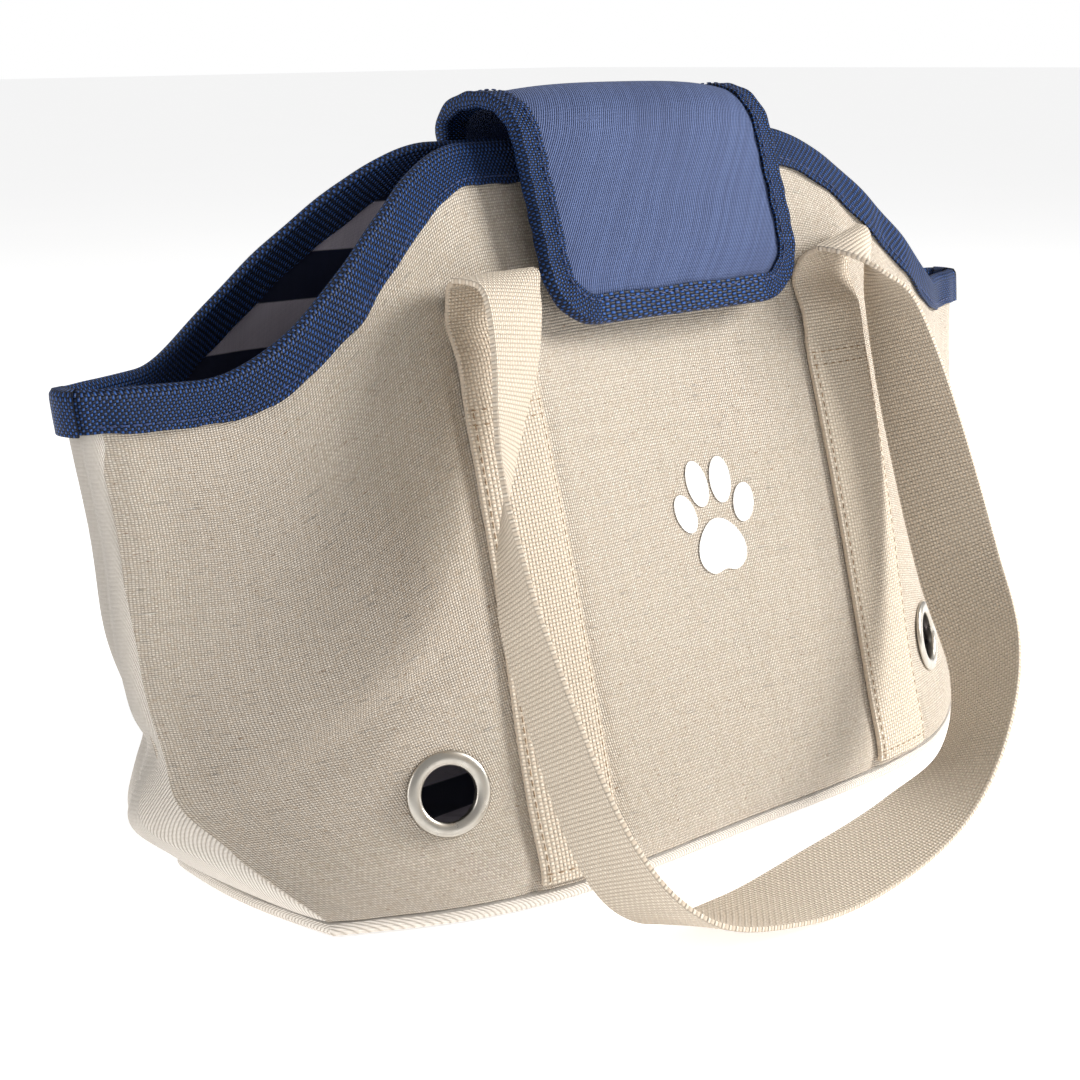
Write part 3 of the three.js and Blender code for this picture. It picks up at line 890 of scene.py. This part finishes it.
def makeCushion():
    outline = planOutline(slab["planHeight"], cushionSizes["inset"], 200)
    low, high = cushionSizes["low"], cushionSizes["high"]
    middle = (low + high) / 2
    profile = [(0.30, low), (0.75, low), (0.93, low + 0.8), (0.985, middle - 2.4), (1.0, middle - 0.5)]
    profile += [(1.008, middle), (1.0, middle + 0.5), (0.985, middle + 2.4), (0.94, high - 2.0)]
    profile += [(0.86, high - 0.4), (0.72, high + 0.6), (0.50, high + 1.2), (0.25, high + 1.5)]
    rings = []
    for share, z in profile:
        ring = outline * share
        lift = np.zeros(len(ring))
        if z > middle + 1:
            lift = 0.8 * ripple(ring[:, 0] * 1.2, ring[:, 1] * 1.4, 3.1)
        rings.append(np.column_stack([ring, z + lift]))
    return ringSolid("cushion", rings)


cushion = makeCushion()
dress(cushion, "bag", cushionCloth, "cushion", "base_cushion")
for node, material in (("base_board", makeBoard()), ("base_lining", lining)):
    paint(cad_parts[node], material)
for label in sides:
    for endLabel in ends:
        paint(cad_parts[f"{label}_{endLabel}_eyelet_washer"], nickel)
print("base made")


stitch = {"long": 2.9, "gap": 1.0, "round": 0.34, "sink": 0.05}


def makeStitchShape():
    bpy.ops.object.select_all(action="DESELECT")
    bpy.ops.mesh.primitive_uv_sphere_add(segments=6, ring_count=5, radius=1)
    seed = bpy.context.object
    points = np.array([v.co for v in seed.data.vertices])
    faces = [tuple(p.vertices) for p in seed.data.polygons]
    bpy.data.objects.remove(seed, do_unlink=True)
    return points, faces


stitchPoints, stitchFaces = makeStitchShape()


def evenly(points, step):
    length = arcLengths(points)
    count = max(2, int(length[-1] / step))
    return np.linspace(0, length[-1], count), length


# lines is a list of (points, normals); a stitch lies along each step of each line.
def stitchRow(name, body, material, slot, lines):
    vertices, faces = [], []
    for points, normals in lines:
        points = settled(points)
        at, length = evenly(points, stitch["long"] + stitch["gap"])
        place = alongLine(points, length, at)
        normal = alongLine(normals, length, at)
        normal /= np.linalg.norm(normal, axis=1, keepdims=True)
        ahead = np.gradient(place, axis=0)
        ahead /= np.linalg.norm(ahead, axis=1, keepdims=True)
        across = np.cross(normal, ahead)
        for p, t, s, nrm in zip(place, ahead, across, normal):
            turn = 0.08 * (rng.random() - 0.5)
            t = t + turn * s
            local = (
                stitchPoints[:, 2:3] * t * stitch["long"] / 2
                + stitchPoints[:, 0:1] * s * stitch["round"]
                + stitchPoints[:, 1:2] * nrm * stitch["round"]
            )
            base = len(vertices) * len(stitchPoints)
            vertices.append(p + nrm * stitch["sink"] + local)
            faces.extend(tuple(base + k for k in face) for face in stitchFaces)
    mesh = bpy.data.meshes.new(name)
    mesh.from_pydata((np.concatenate(vertices) * mm).tolist(), [], faces)
    piece = bpy.data.objects.new(name, mesh)
    bpy.context.collection.objects.link(piece)
    smooth(piece)
    return dress(piece, body, material, slot)


tape = {"cloth": 1.1, "slack": 0.7, "width": 13.2, "innerGap": 3.5, "fullness": 0.35}


def tapeDrop(x):
    slope = (rimHeight(x + 1) - rimHeight(x - 1)) / 2
    return tape["width"] * np.hypot(1, slope)


# Across the folded tape, from its outer edge to its inner one: how far out of the face, the share of
# its width up from the edge, and the height of the fold above it.
def foldSection(v):
    outer = tape["slack"] + tape["cloth"]
    innerSide = -(tape["innerGap"] + tape["cloth"])
    middle, reach = (outer + innerSide) / 2, (outer - innerSide) / 2
    leg = 0.40
    turn = np.clip((v - leg) / (1 - 2 * leg), 0, 1) * np.pi
    out = middle + reach * np.cos(turn)
    up = np.where(v < leg, -(1 - v / leg), np.where(v > 1 - leg, -((v - 1 + leg) / leg), 0))
    crest = 3.3 * np.sin(turn)
    return out, up, crest


def faceTapePlace(side):
    straight = 0.965  # past this share of its length the tape turns the corner

    def place(u, v):
        across = 2 * u - 1
        run = np.clip(across / straight, -1, 1)
        xTop = run * form["topHalfLength"]
        out, up, crest = foldSection(v)
        xRim = run * (seamLength(rimHeight(xTop)) - 1)
        top = rimHeight(xRim)
        wobble = 1 + 0.02 * np.sin(xTop / 7.0 + side) + 0.015 * np.sin(xTop / 2.9)
        drop = tapeDrop(xRim) * wobble
        z = top - 1.2 + up * (drop - 1.2) + crest
        low = np.minimum(z, top)
        turn = np.clip((np.abs(across) - straight) / (1 - straight), 0, 1) * np.radians(72)
        corner = seamLength(low) - 1
        soft = tape["fullness"] * np.sin(xTop / 6.1 + 3 * side) * (0.4 + 0.6 * np.abs(up)) * np.sign(out)
        x = run * corner + np.sign(across) * (7 + out) * np.sin(turn)
        inner = 1 - np.clip(v * 2 - 0.6, 0, 1)
        depth = halfDepth(run * corner, low) + facePuff(side, run * corner, low) * inner + out + soft
        return np.stack([x, side * depth * np.cos(turn), z], -1)

    return place


def rimStitches(side):
    x = np.linspace(-252, 252, 500)
    z = rimHeight(x) - tapeDrop(x) + 2.6 * tapeDrop(x) / tape["width"]
    y = side * (halfDepth(x, z) + facePuff(side, x, z) + tape["slack"] + tape["cloth"])
    return np.stack([x, y, z], -1), faceNormal(side, x, z)


for label, side in sides.items():
    piece = clothGrid(f"{label}_rim_tape", 300, 26, faceTapePlace(side), 620, 34, 1.1, flip=side > 0)
    dress(piece, "bag", rimTape, "binding", f"{label}_rim_binding")
    stitchRow(f"{label}_rim_stitching", "bag", blueThread, "binding", [rimStitches(side)])


def endTapePlace(end):
    def place(u, v):
        out, up, crest = foldSection(v)
        out = out + 0.9 * np.sign(out)
        z = form["rimEndHeight"] - 1.0 + up * (tape["width"] - 0.6) + crest * 1.1
        low = np.minimum(z, form["rimEndHeight"])
        turn = (2 * u - 1) * np.radians(40)
        corner = seamLength(low) - 1
        x = end * (corner + (7 + out) * np.cos(turn))
        y = (halfDepth(corner, low) + out) * np.sin(turn)
        return np.stack([x, y, z], -1)

    return place


for label, end in ends.items():
    piece = clothGrid(f"{label}_end_tape", 20, 26, endTapePlace(end), 18, 34, 1.1, flip=end < 0)
    dress(piece, "bag", rimTape, "binding", f"{label}_rim_binding")
print("rim bound")


def spline(points, count):  # Catmull-Rom through the points
    p = np.array(points, float)
    p = np.concatenate([2 * p[:1] - p[1:2], p, 2 * p[-1:] - p[-2:-1]])
    t = np.linspace(0, len(p) - 3, count)
    i = np.minimum(t.astype(int), len(p) - 4)
    f = (t - i)[:, None]
    a, b, c, d = p[i], p[i + 1], p[i + 2], p[i + 3]
    return 0.5 * (2 * b + (c - a) * f + (2 * a - 5 * b + 4 * c - d) * f**2 + (3 * b - a - 3 * c + d) * f**3)


stripRise = [(99, 33.5, 212), (99.2, 34.5, 221), (100, 37.0, 227.5), (101, 41.0, 230)]
crestLean = {-1: (0.10, 0.04), 1: (-0.16, 0.18)}  # how far out and up a crest goes, per millimetre to the right

# The free loop: its middle line, and its half width from the rear edge to the front edge.
loopLine = [
    ((-101, 41, 230), (-18.8, -1.9, -0.8)),
    ((-101.8, 47, 229.4), (-18.6, 0.5, 0)),
    ((-104, 53, 226), (-18, 4, 2)),
    ((-107, 58.5, 218), (-17.8, 5.5, 2.5)),
    ((-112, 64, 201), (-17.2, 7.5, 3)),
    ((-119.5, 68.5, 182), (-15.6, 10, 4.5)),
    ((-127, 74, 160), (-13, 12.4, 6.5)),
    ((-133, 82, 135), (-9, 14.8, 8)),
    ((-138, 96, 106), (-6, 16, 8.5)),
    ((-137, 130, 44), (-3, 16.5, 8)),
    ((-117, 145, 14), (-0.5, 18.3, 5)),
    ((-73, 148, 4.5), (1, 19, 0.5)),
    ((-24, 148, 6), (1, 18.7, -3)),
    ((27, 147, 15), (0, 19, -1)),
    ((70, 141, 32), (-1.5, 17, 8)),
    ((101, 124, 58), (1.5, 15.5, 11)),
    ((116, 98, 94), (5.5, 16, 8.5)),
    ((119, 76, 150), (1, 18, 6)),
    ((114, 62, 198), (-6, 17.4, 5)),
    ((107.5, 57, 215), (-12, 14, 2)),
    ((104, 53, 224.5), (-16, 9, -1)),
    ((102, 47.5, 229), (-18, 5, -3)),
    ((101, 41, 230), (-18.4, 3, -3.4)),
]


def loopPlace(side):
    fine = 900
    line = spline([point for point, _ in loopLine], fine)
    wide = spline([half for _, half in loopLine], fine)
    wide /= np.linalg.norm(wide, axis=1, keepdims=True)
    length = arcLengths(line)

    def place(u, v):
        at = u * length[-1]
        ahead = alongLine(line, length, np.minimum(at + 2, length[-1]))
        ahead = ahead - alongLine(line, length, np.maximum(at - 2, 0))
        widthways = alongLine(wide, length, at)
        normal = np.cross(ahead, widthways)
        normal /= np.linalg.norm(normal, axis=1, keepdims=True)
        across = (v - 0.5) * webbing["width"]
        ends = np.clip(np.minimum(at, length[-1] - at) / 25, 0, 1)
        cup = ends * (0.5 * (1 - (2 * v - 1) ** 2) + 0.35 * np.sin(at / 23 + v * 2))
        point = alongLine(line, length, at) + widthways * across[:, None] + normal * cup[:, None]
        point[:, 1] *= side
        return point

    return place, length[-1]


def stripPlace(side, end):
    top = webbing["sewnTop"]
    centre = webbing["centre"]
    low = np.array([[centre, 0, z] for z in np.linspace(webbing["foot"], top, 12)])
    low[:, 1] = faceOut(side, end * low[:, 0], low[:, 2]) + webbing["lift"]
    free = [[centre, faceOut(side, centre, np.array([200.0]))[0] + 1.2, 200.0]]
    line = spline(np.concatenate([low, free, np.array(stripRise)]), 400)
    length = arcLengths(line)

    def place(u, v):
        at = v * length[-1]
        p = alongLine(line, length, at)
        s = (u - 0.5) * webbing["width"]
        x = end * p[:, 0] + s
        sewn = np.clip((top + 12 - p[:, 2]) / 24, 0, 1)
        sewn = sewn * sewn * (3 - 2 * sewn)
        onFace = faceOut(side, x, p[:, 2]) + webbing["lift"]
        edge = np.clip((np.abs(s) - 14.5) / 2.5, 0, 1)
        crown = 0.5 * (1 - edge) * np.clip((top + 4 - p[:, 2]) / 8, 0, 1)
        y = p[:, 1] * (1 - sewn) + onFace * sewn + crown
        near = np.clip((p[:, 2] - 204) / 26, 0, 1) ** 2
        out, up = crestLean[end]
        return np.stack([x, side * (y + out * s * near), p[:, 2] + up * s * near], -1)

    return place, length[-1]


def stripStitches(side, end):
    lines = []
    place, total = stripPlace(side, end)
    for edge in (0.065, 0.935):
        v = np.linspace(0.01, 0.76, 160)
        points = place(np.full_like(v, edge), v)
        points = points[points[:, 2] < webbing["sewnTop"]]
        normals = faceNormal(side, points[:, 0], points[:, 2])
        lines.append((points + normals * webbing["thick"] * 0.98, normals))
    for height in (webbing["sewnTop"] - 0.5, webbing["sewnTop"] - 6, webbing["foot"] + 4):
        u = np.linspace(0.07, 0.93, 30)
        share = (height - webbing["foot"]) / total
        points = place(u, np.full_like(u, share))
        normals = faceNormal(side, points[:, 0], points[:, 2])
        lines.append((points + normals * webbing["thick"] * 0.98, normals))
    return lines


wide, thick = webbing["width"], webbing["thick"]
for label, side in sides.items():
    for endLabel, end in ends.items():
        place, length = stripPlace(side, end)
        name = f"{label}_{endLabel}_handle_strip"
        strip = clothGrid(name, 20, 130, place, wide, length, thick, 1, flip=side > 0)
        roundEdges(strip)
        dress(strip, "bag", webbingCloth, "webbing", f"{label}_{endLabel}_strip")
        seams = stripStitches(side, end)
        stitchRow(f"{label}_{endLabel}_strip_stitching", "bag", shadedFlaxThread, "webbing", seams)
    place, length = loopPlace(side)
    loop = clothGrid(f"{label}_handle", 420, 18, place, length, wide, thick, 0, flip=side > 0)
    roundEdges(loop)
    dress(loop, None, webbingCloth, "webbing", f"{label}_handle_loop")
    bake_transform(loop)
    print(label, "handle", round(length), "mm of free webbing")


eyeletWall = {"domeWidth": 2.8, "depth": 4.2}


def eyeletTurn(side, x, z):
    along = (halfDepth(x + 4, z) - halfDepth(x - 4, z)) / 8
    up = (halfDepth(x, z + 4) - halfDepth(x, z - 4)) / 8
    normal = Vector((-float(along), side, -float(up))).normalized()
    place = Vector((x, side * float(halfDepth(x, z)), z)) * mm
    return place, normal


def makeEyelet(name, side, x, z):
    place, normal = eyeletTurn(side, x, z)
    major = (eyelet["hole"] + eyelet["radius"]) / 2
    bpy.ops.object.select_all(action="DESELECT")
    bpy.ops.mesh.primitive_torus_add(
        major_radius=major * mm,
        minor_radius=eyeletWall["domeWidth"] * mm,
        major_segments=72,
        minor_segments=20,
    )
    piece = bpy.context.object
    piece.name = piece.data.name = name
    turn = normal.to_track_quat("Z", "Y").to_matrix()
    for vertex in piece.data.vertices:
        p = vertex.co / mm
        r = math.hypot(p.x, p.y)
        h = p.z / eyeletWall["domeWidth"]
        share = (r - major) / eyeletWall["domeWidth"]
        if h > 0:
            height = 0.5 + eyelet["dome"] * h ** 0.8
        else:
            height = 0.3 + 0.2 * h
            if share < 0:
                height = 0.3 + eyeletWall["depth"] * h * min(1, -share * 1.6)
        vertex.co = place + turn @ (Vector((p.x, p.y, height)) * mm)
    smooth(piece)
    return piece


for label, side in sides.items():
    for endLabel, end in ends.items():
        ring = makeEyelet(f"{label}_{endLabel}_ring", side, end * eyelet["x"], eyelet["z"])
        dress(ring, "bag", nickel, "nickel", f"{label}_{endLabel}_eyelet")
print("eyelets set")


flap = {"half": 72.0, "corner": 24.0, "tapeWidth": 9.5, "crown": 3.4, "tail": 6.0, "fill": 0.35}
flapPoints = [  # y and z along the flap's middle, from its seam to its free end
    (17, 272),
    (18, 282),
    (11, 289),
    (-2, 291.5),
    (-14, 289),
    (-23, 280),
    (-29, 262),
    (-37, 236),
    (-44, 208),
]
flapCurve = spline([(0, y, z) for y, z in flapPoints], 600)[:, 1:]
flapArc = arcLengths(flapCurve)
flapLength = float(flapArc[-1])


def flapPoint(along, out):
    inside = np.clip(along, 0, flapLength)
    y = np.interp(inside, flapArc, flapCurve[:, 0])
    z = np.interp(inside, flapArc, flapCurve[:, 1])
    ahead = np.minimum(inside + 1.5, flapLength)
    behind = np.maximum(inside - 1.5, 0)
    ty = np.interp(ahead, flapArc, flapCurve[:, 0]) - np.interp(behind, flapArc, flapCurve[:, 0])
    tz = np.interp(ahead, flapArc, flapCurve[:, 1]) - np.interp(behind, flapArc, flapCurve[:, 1])
    size = np.hypot(ty, tz)
    ty, tz = ty / size, tz / size
    past = along - inside
    return y + ty * past + tz * out, z + tz * past - ty * out


def flapHalfAt(along, inset):
    toEnd = flapLength - inset - along
    corner = flap["corner"] - inset
    short = np.where(toEnd < corner, corner - np.sqrt(np.maximum(0, corner**2 - (corner - toEnd) ** 2)), 0)
    return flap["half"] - inset - short


def flapCrown(x, along):
    share = np.clip(1 - (np.abs(x) / (flap["half"] - 7)) ** 4, 0, 1)
    ends = np.clip(along / 30, 0, 1) * np.clip((flapLength - 8 - along) / 16, 0, 1)
    dents = 0.7 * ripple(x * 1.1, along * 1.2, 4.2) - 1.3 * bump(along, flapLength - 46, 9) * bump(x, 18, 44)
    return share * ends * (flap["crown"] + dents)


def flapPlace(inset, base, way):
    def place(u, v):
        along = flapStations(v, inset)
        x = (2 * u - 1) * flapHalfAt(along, inset)
        y, z = flapPoint(along, base + way * flapCrown(x, along))
        return np.stack([x, y, z], -1)

    return place


# Places along the flap: even down the sides, then by angle round the corners, so its edge stays clean.
def flapStations(v, inset):
    straight = flapLength - flap["corner"]
    share = 0.8
    low = -flap["tail"] + (straight + flap["tail"]) * np.clip(v / share, 0, 1)
    angle = np.clip((v - share) / (1 - share), 0, 1) * np.pi / 2
    return np.where(v < share, low, straight + (flap["corner"] - inset) * np.sin(angle))


flapOuter = clothGrid("flap_cover", 110, 130, flapPlace(1.4, 1.5, 1.0), 144, 130, 1.0, flip=True)
flapInner = clothGrid("flap_underside", 70, 90, flapPlace(1.4, -1.5, -0.25), 144, 130, 0.8)


# Round the flap's sides and free end: x, place along, and the way out in the flap's own plane.
def flapEdgePath(count):
    sideCount, cornerCount = int(count * 0.36), int(count * 0.09)
    corner = flap["corner"]
    inner = flap["half"] - corner
    straight = flapLength - corner
    down = np.linspace(-flap["tail"], straight, sideCount, endpoint=False)
    rows = [(-flap["half"], a, -1.0, 0.0) for a in down]
    for k in np.linspace(0, np.pi / 2, cornerCount, endpoint=False):
        c, s = math.cos(k), math.sin(k)
        rows.append((-inner - corner * c, straight + corner * s, -c, s))
    rows += [(x, flapLength, 0.0, 1.0) for x in np.linspace(-inner, inner, int(count * 0.1), endpoint=False)]
    for k in np.linspace(np.pi / 2, 0, cornerCount, endpoint=False):
        c, s = math.cos(k), math.sin(k)
        rows.append((inner + corner * c, straight + corner * s, c, s))
    rows += [(flap["half"], a, 1.0, 0.0) for a in down[::-1]]
    return np.array(rows)


def flapTapePlace():
    path = flapEdgePath(420)
    index = np.linspace(0, 1, len(path))

    def place(u, v):
        x, along, sx, sa = (np.interp(u, index, path[:, k]) for k in range(4))
        leg = 0.38
        turn = np.clip((v - leg) / (1 - 2 * leg), 0, 1) * np.pi
        legShare = np.where(v < leg, 1 - v / leg, np.where(v > 1 - leg, (v - 1 + leg) / leg, 0))
        width = flap["tapeWidth"] * (1 + 0.03 * np.sin(u * 140))
        out = 1.6 * np.sin(turn) - legShare * width - 0.6
        up = 3.3 * np.cos(turn) + 0.25 * np.sin(u * 190) * np.sign(np.cos(turn))
        up = up - 0.5 * bump(legShare, 0.28, 0.14) * np.sign(np.cos(turn))
        y, z = flapPoint(along + sa * out, up)
        return np.stack([x + sx * out, y, z], -1)

    length = float(np.sum(np.hypot(np.diff(path[:, 0]), np.diff(path[:, 1]))))
    return place, length


tapePlace, tapeLength = flapTapePlace()
flapTape = clothGrid("flap_tape", 380, 24, tapePlace, tapeLength, 26, 1.0, flip=True)


def flapStitches():
    path = flapEdgePath(420)
    inset = flap["tapeWidth"] - 1.8
    y, z = flapPoint(path[:, 1] - path[:, 3] * inset, 3.5)
    y2, z2 = flapPoint(path[:, 1] - path[:, 3] * inset, 4.5)
    points = np.stack([path[:, 0] - path[:, 2] * inset, y, z], -1)
    normals = np.stack([np.zeros(len(y)), y2 - y, z2 - z], -1)
    return points, normals


flapThread = stitchRow("flap_stitching", None, blueThread, "binding", [flapStitches()])


closure = {"half": 31.5, "fromEnd": 34.0, "hookWidth": 20.0, "loopFoot": 218.3, "loopWidth": 19.5}


def hookPlace(u, v):
    x = (2 * u - 1) * closure["half"]
    along = flapLength - closure["fromEnd"] + v * closure["hookWidth"]
    y, z = flapPoint(along, -3.2 - 0.2 * np.sin(x / 9))
    return np.stack([x, y, z], -1)


def loopTapePlace(u, v):
    x = (2 * u - 1) * closure["half"]
    z = closure["loopFoot"] + v * closure["loopWidth"]
    return np.stack([x, -(faceOut(-1, x, z) + 0.3), z], -1)


hook = clothGrid("flap_hook_tape", 40, 16, hookPlace, 63, 20, 1.0, 0)
pile = clothGrid("front_loop_tape", 40, 16, loopTapePlace, 63, 20, 1.0, 1)
dress(pile, "bag", loopTape, "closure", "closure_loop_strip")
dress(flapOuter, None, flapCloth, "flap", "flap_outer")
dress(flapInner, None, flapCloth, "lining", "flap_lining")
dress(flapTape, None, rimTape, "binding", "flap_binding")
dress(hook, "flap", hookTape, "closure", "closure_hook_strip")
for piece in (flapOuter, flapInner, flapTape, flapThread):
    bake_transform(piece)
print("flap made")


paw = {"x": 9.0, "z": 120.0, "lift": 0.35, "size": 0.8}
pawPads = [  # x, z, half width, half height and lean in degrees
    (0, -10, 17, 14, 0),
    (-21, 9, 7.0, 10.0, 24),
    (-8, 22, 7.4, 11.5, 8),
    (9, 22, 7.4, 11.5, -8),
    (22, 9, 7.0, 10.0, -24),
]


def pawPlace(cx, cz, rx, rz, lean):
    c, s = math.cos(math.radians(lean)), math.sin(math.radians(lean))

    def place(u, v):
        a, b = 2 * u - 1, 2 * v - 1
        px = a * np.sqrt(1 - b * b / 2)
        pz = b * np.sqrt(1 - a * a / 2)
        if rx > 12:  # the big pad is wider at its foot, with a dip in its lower edge
            px = px * (1 - 0.22 * pz)
            pz = pz + 0.20 * bump(px, 0, 0.35) * (pz < 0) * np.abs(pz)
        x = paw["x"] + paw["size"] * (cx + px * rx * c - pz * rz * s)
        z = paw["z"] + paw["size"] * (cz + px * rx * s + pz * rz * c)
        return np.stack([x, -(faceOut(-1, x, z) + paw["lift"]), z], -1)

    return place


pads = [
    clothGrid(f"pad{k}", 18, 18, pawPlace(*pad), 2 * pad[2], 2 * pad[3], 0.25, 1)
    for k, pad in enumerate(pawPads)
]
dress(joined("paw_print", pads), "bag", whitePrint, "linen")
print("print made")


view = {"yaw": 44.17, "pitch": -13.14, "roll": -0.61, "lens": 70.9, "place": (-631, -610, 312)}


def makeCamera():
    yaw, pitch, roll = (math.radians(view[key]) for key in ("yaw", "pitch", "roll"))
    ahead = Vector((math.sin(yaw) * math.cos(pitch), math.cos(yaw) * math.cos(pitch), math.sin(pitch)))
    side = ahead.cross(Vector((0, 0, 1))).normalized()
    up = side.cross(ahead)
    right = math.cos(roll) * side + math.sin(roll) * up
    top = -math.sin(roll) * side + math.cos(roll) * up
    turn = Matrix((right, top, -ahead)).transposed().to_4x4()
    lens = bpy.data.cameras.new("camera")
    lens.lens = view["lens"]
    lens.sensor_width = 36
    lens.clip_start = 0.01
    camera = bpy.data.objects.new("camera", lens)
    camera.matrix_world = Matrix.Translation(Vector(view["place"]) * mm) @ turn
    bpy.context.collection.objects.link(camera)
    bpy.context.scene.camera = camera


def addLight(name, place, aim, size, power, color):
    light = bpy.data.lights.new(name, "AREA")
    light.shape = "SQUARE"
    light.size = size
    light.energy = power
    light.color = color
    lamp = bpy.data.objects.new(name, light)
    turn = (Vector(place) - Vector(aim)).to_track_quat("Z", "Y").to_matrix().to_4x4()
    lamp.matrix_world = Matrix.Translation(Vector(place)) @ turn
    bpy.context.collection.objects.link(lamp)


studio = {"seen": 1.0, "world": 0.38, "floor": 0.55}
lights = [  # name, place, aim, size, power and colour
    ("key", (1.1, -1.0, 0.85), (0.1, 0, 0.12), 0.7, 37.0, (1, 0.985, 0.96)),
    ("fill", (-1.5, 0.45, 0.5), (0, 0, 0.1), 0.9, 9, (1, 1, 1)),
    ("rim", (-0.5, 1.6, 1.5), (0, 0, 0.12), 1.2, 4, (1, 1, 1)),
]


def makeStudio():
    bpy.ops.object.select_all(action="DESELECT")
    bpy.ops.mesh.primitive_plane_add(size=40, location=(0, 0, -0.0004))
    floor = bpy.context.object
    floor.name = "floor"
    material, n, shader = newMaterial("paleFloor", 0.9, specular=0.1)
    place = objectOf(n)
    n.put(shader.inputs["Base Color"], n.mix(n.noise(place, 3, 2), rgb(250, 250, 250), rgb(246, 246, 246)))
    shader.inputs["Emission Color"].default_value = (1, 1, 1, 1)
    shader.inputs["Emission Strength"].default_value = studio["floor"]
    floor.data.materials.append(material)
    floor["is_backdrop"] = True
    world = bpy.context.scene.world or bpy.data.worlds.new("studio")
    bpy.context.scene.world = world
    world.use_nodes = True
    background = world.node_tree.nodes["Background"]
    background.inputs["Color"].default_value = (1, 1, 1, 1)
    nodes = Nodes(world.node_tree)
    seen = nodes.add("ShaderNodeLightPath").outputs["Is Camera Ray"]
    strength = nodes.math("MULTIPLY_ADD", seen, studio["seen"] - studio["world"], studio["world"])
    nodes.put(background.inputs["Strength"], strength)
    for light in lights:
        addLight(*light)
    bpy.context.scene.view_settings.view_transform = "Standard"


makeCamera()
makeStudio()
print("studio set")

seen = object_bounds()
asList = lambda box: [[float(c) for c in corner] for corner in box]
str([asList(cadBox), asList(seen)])
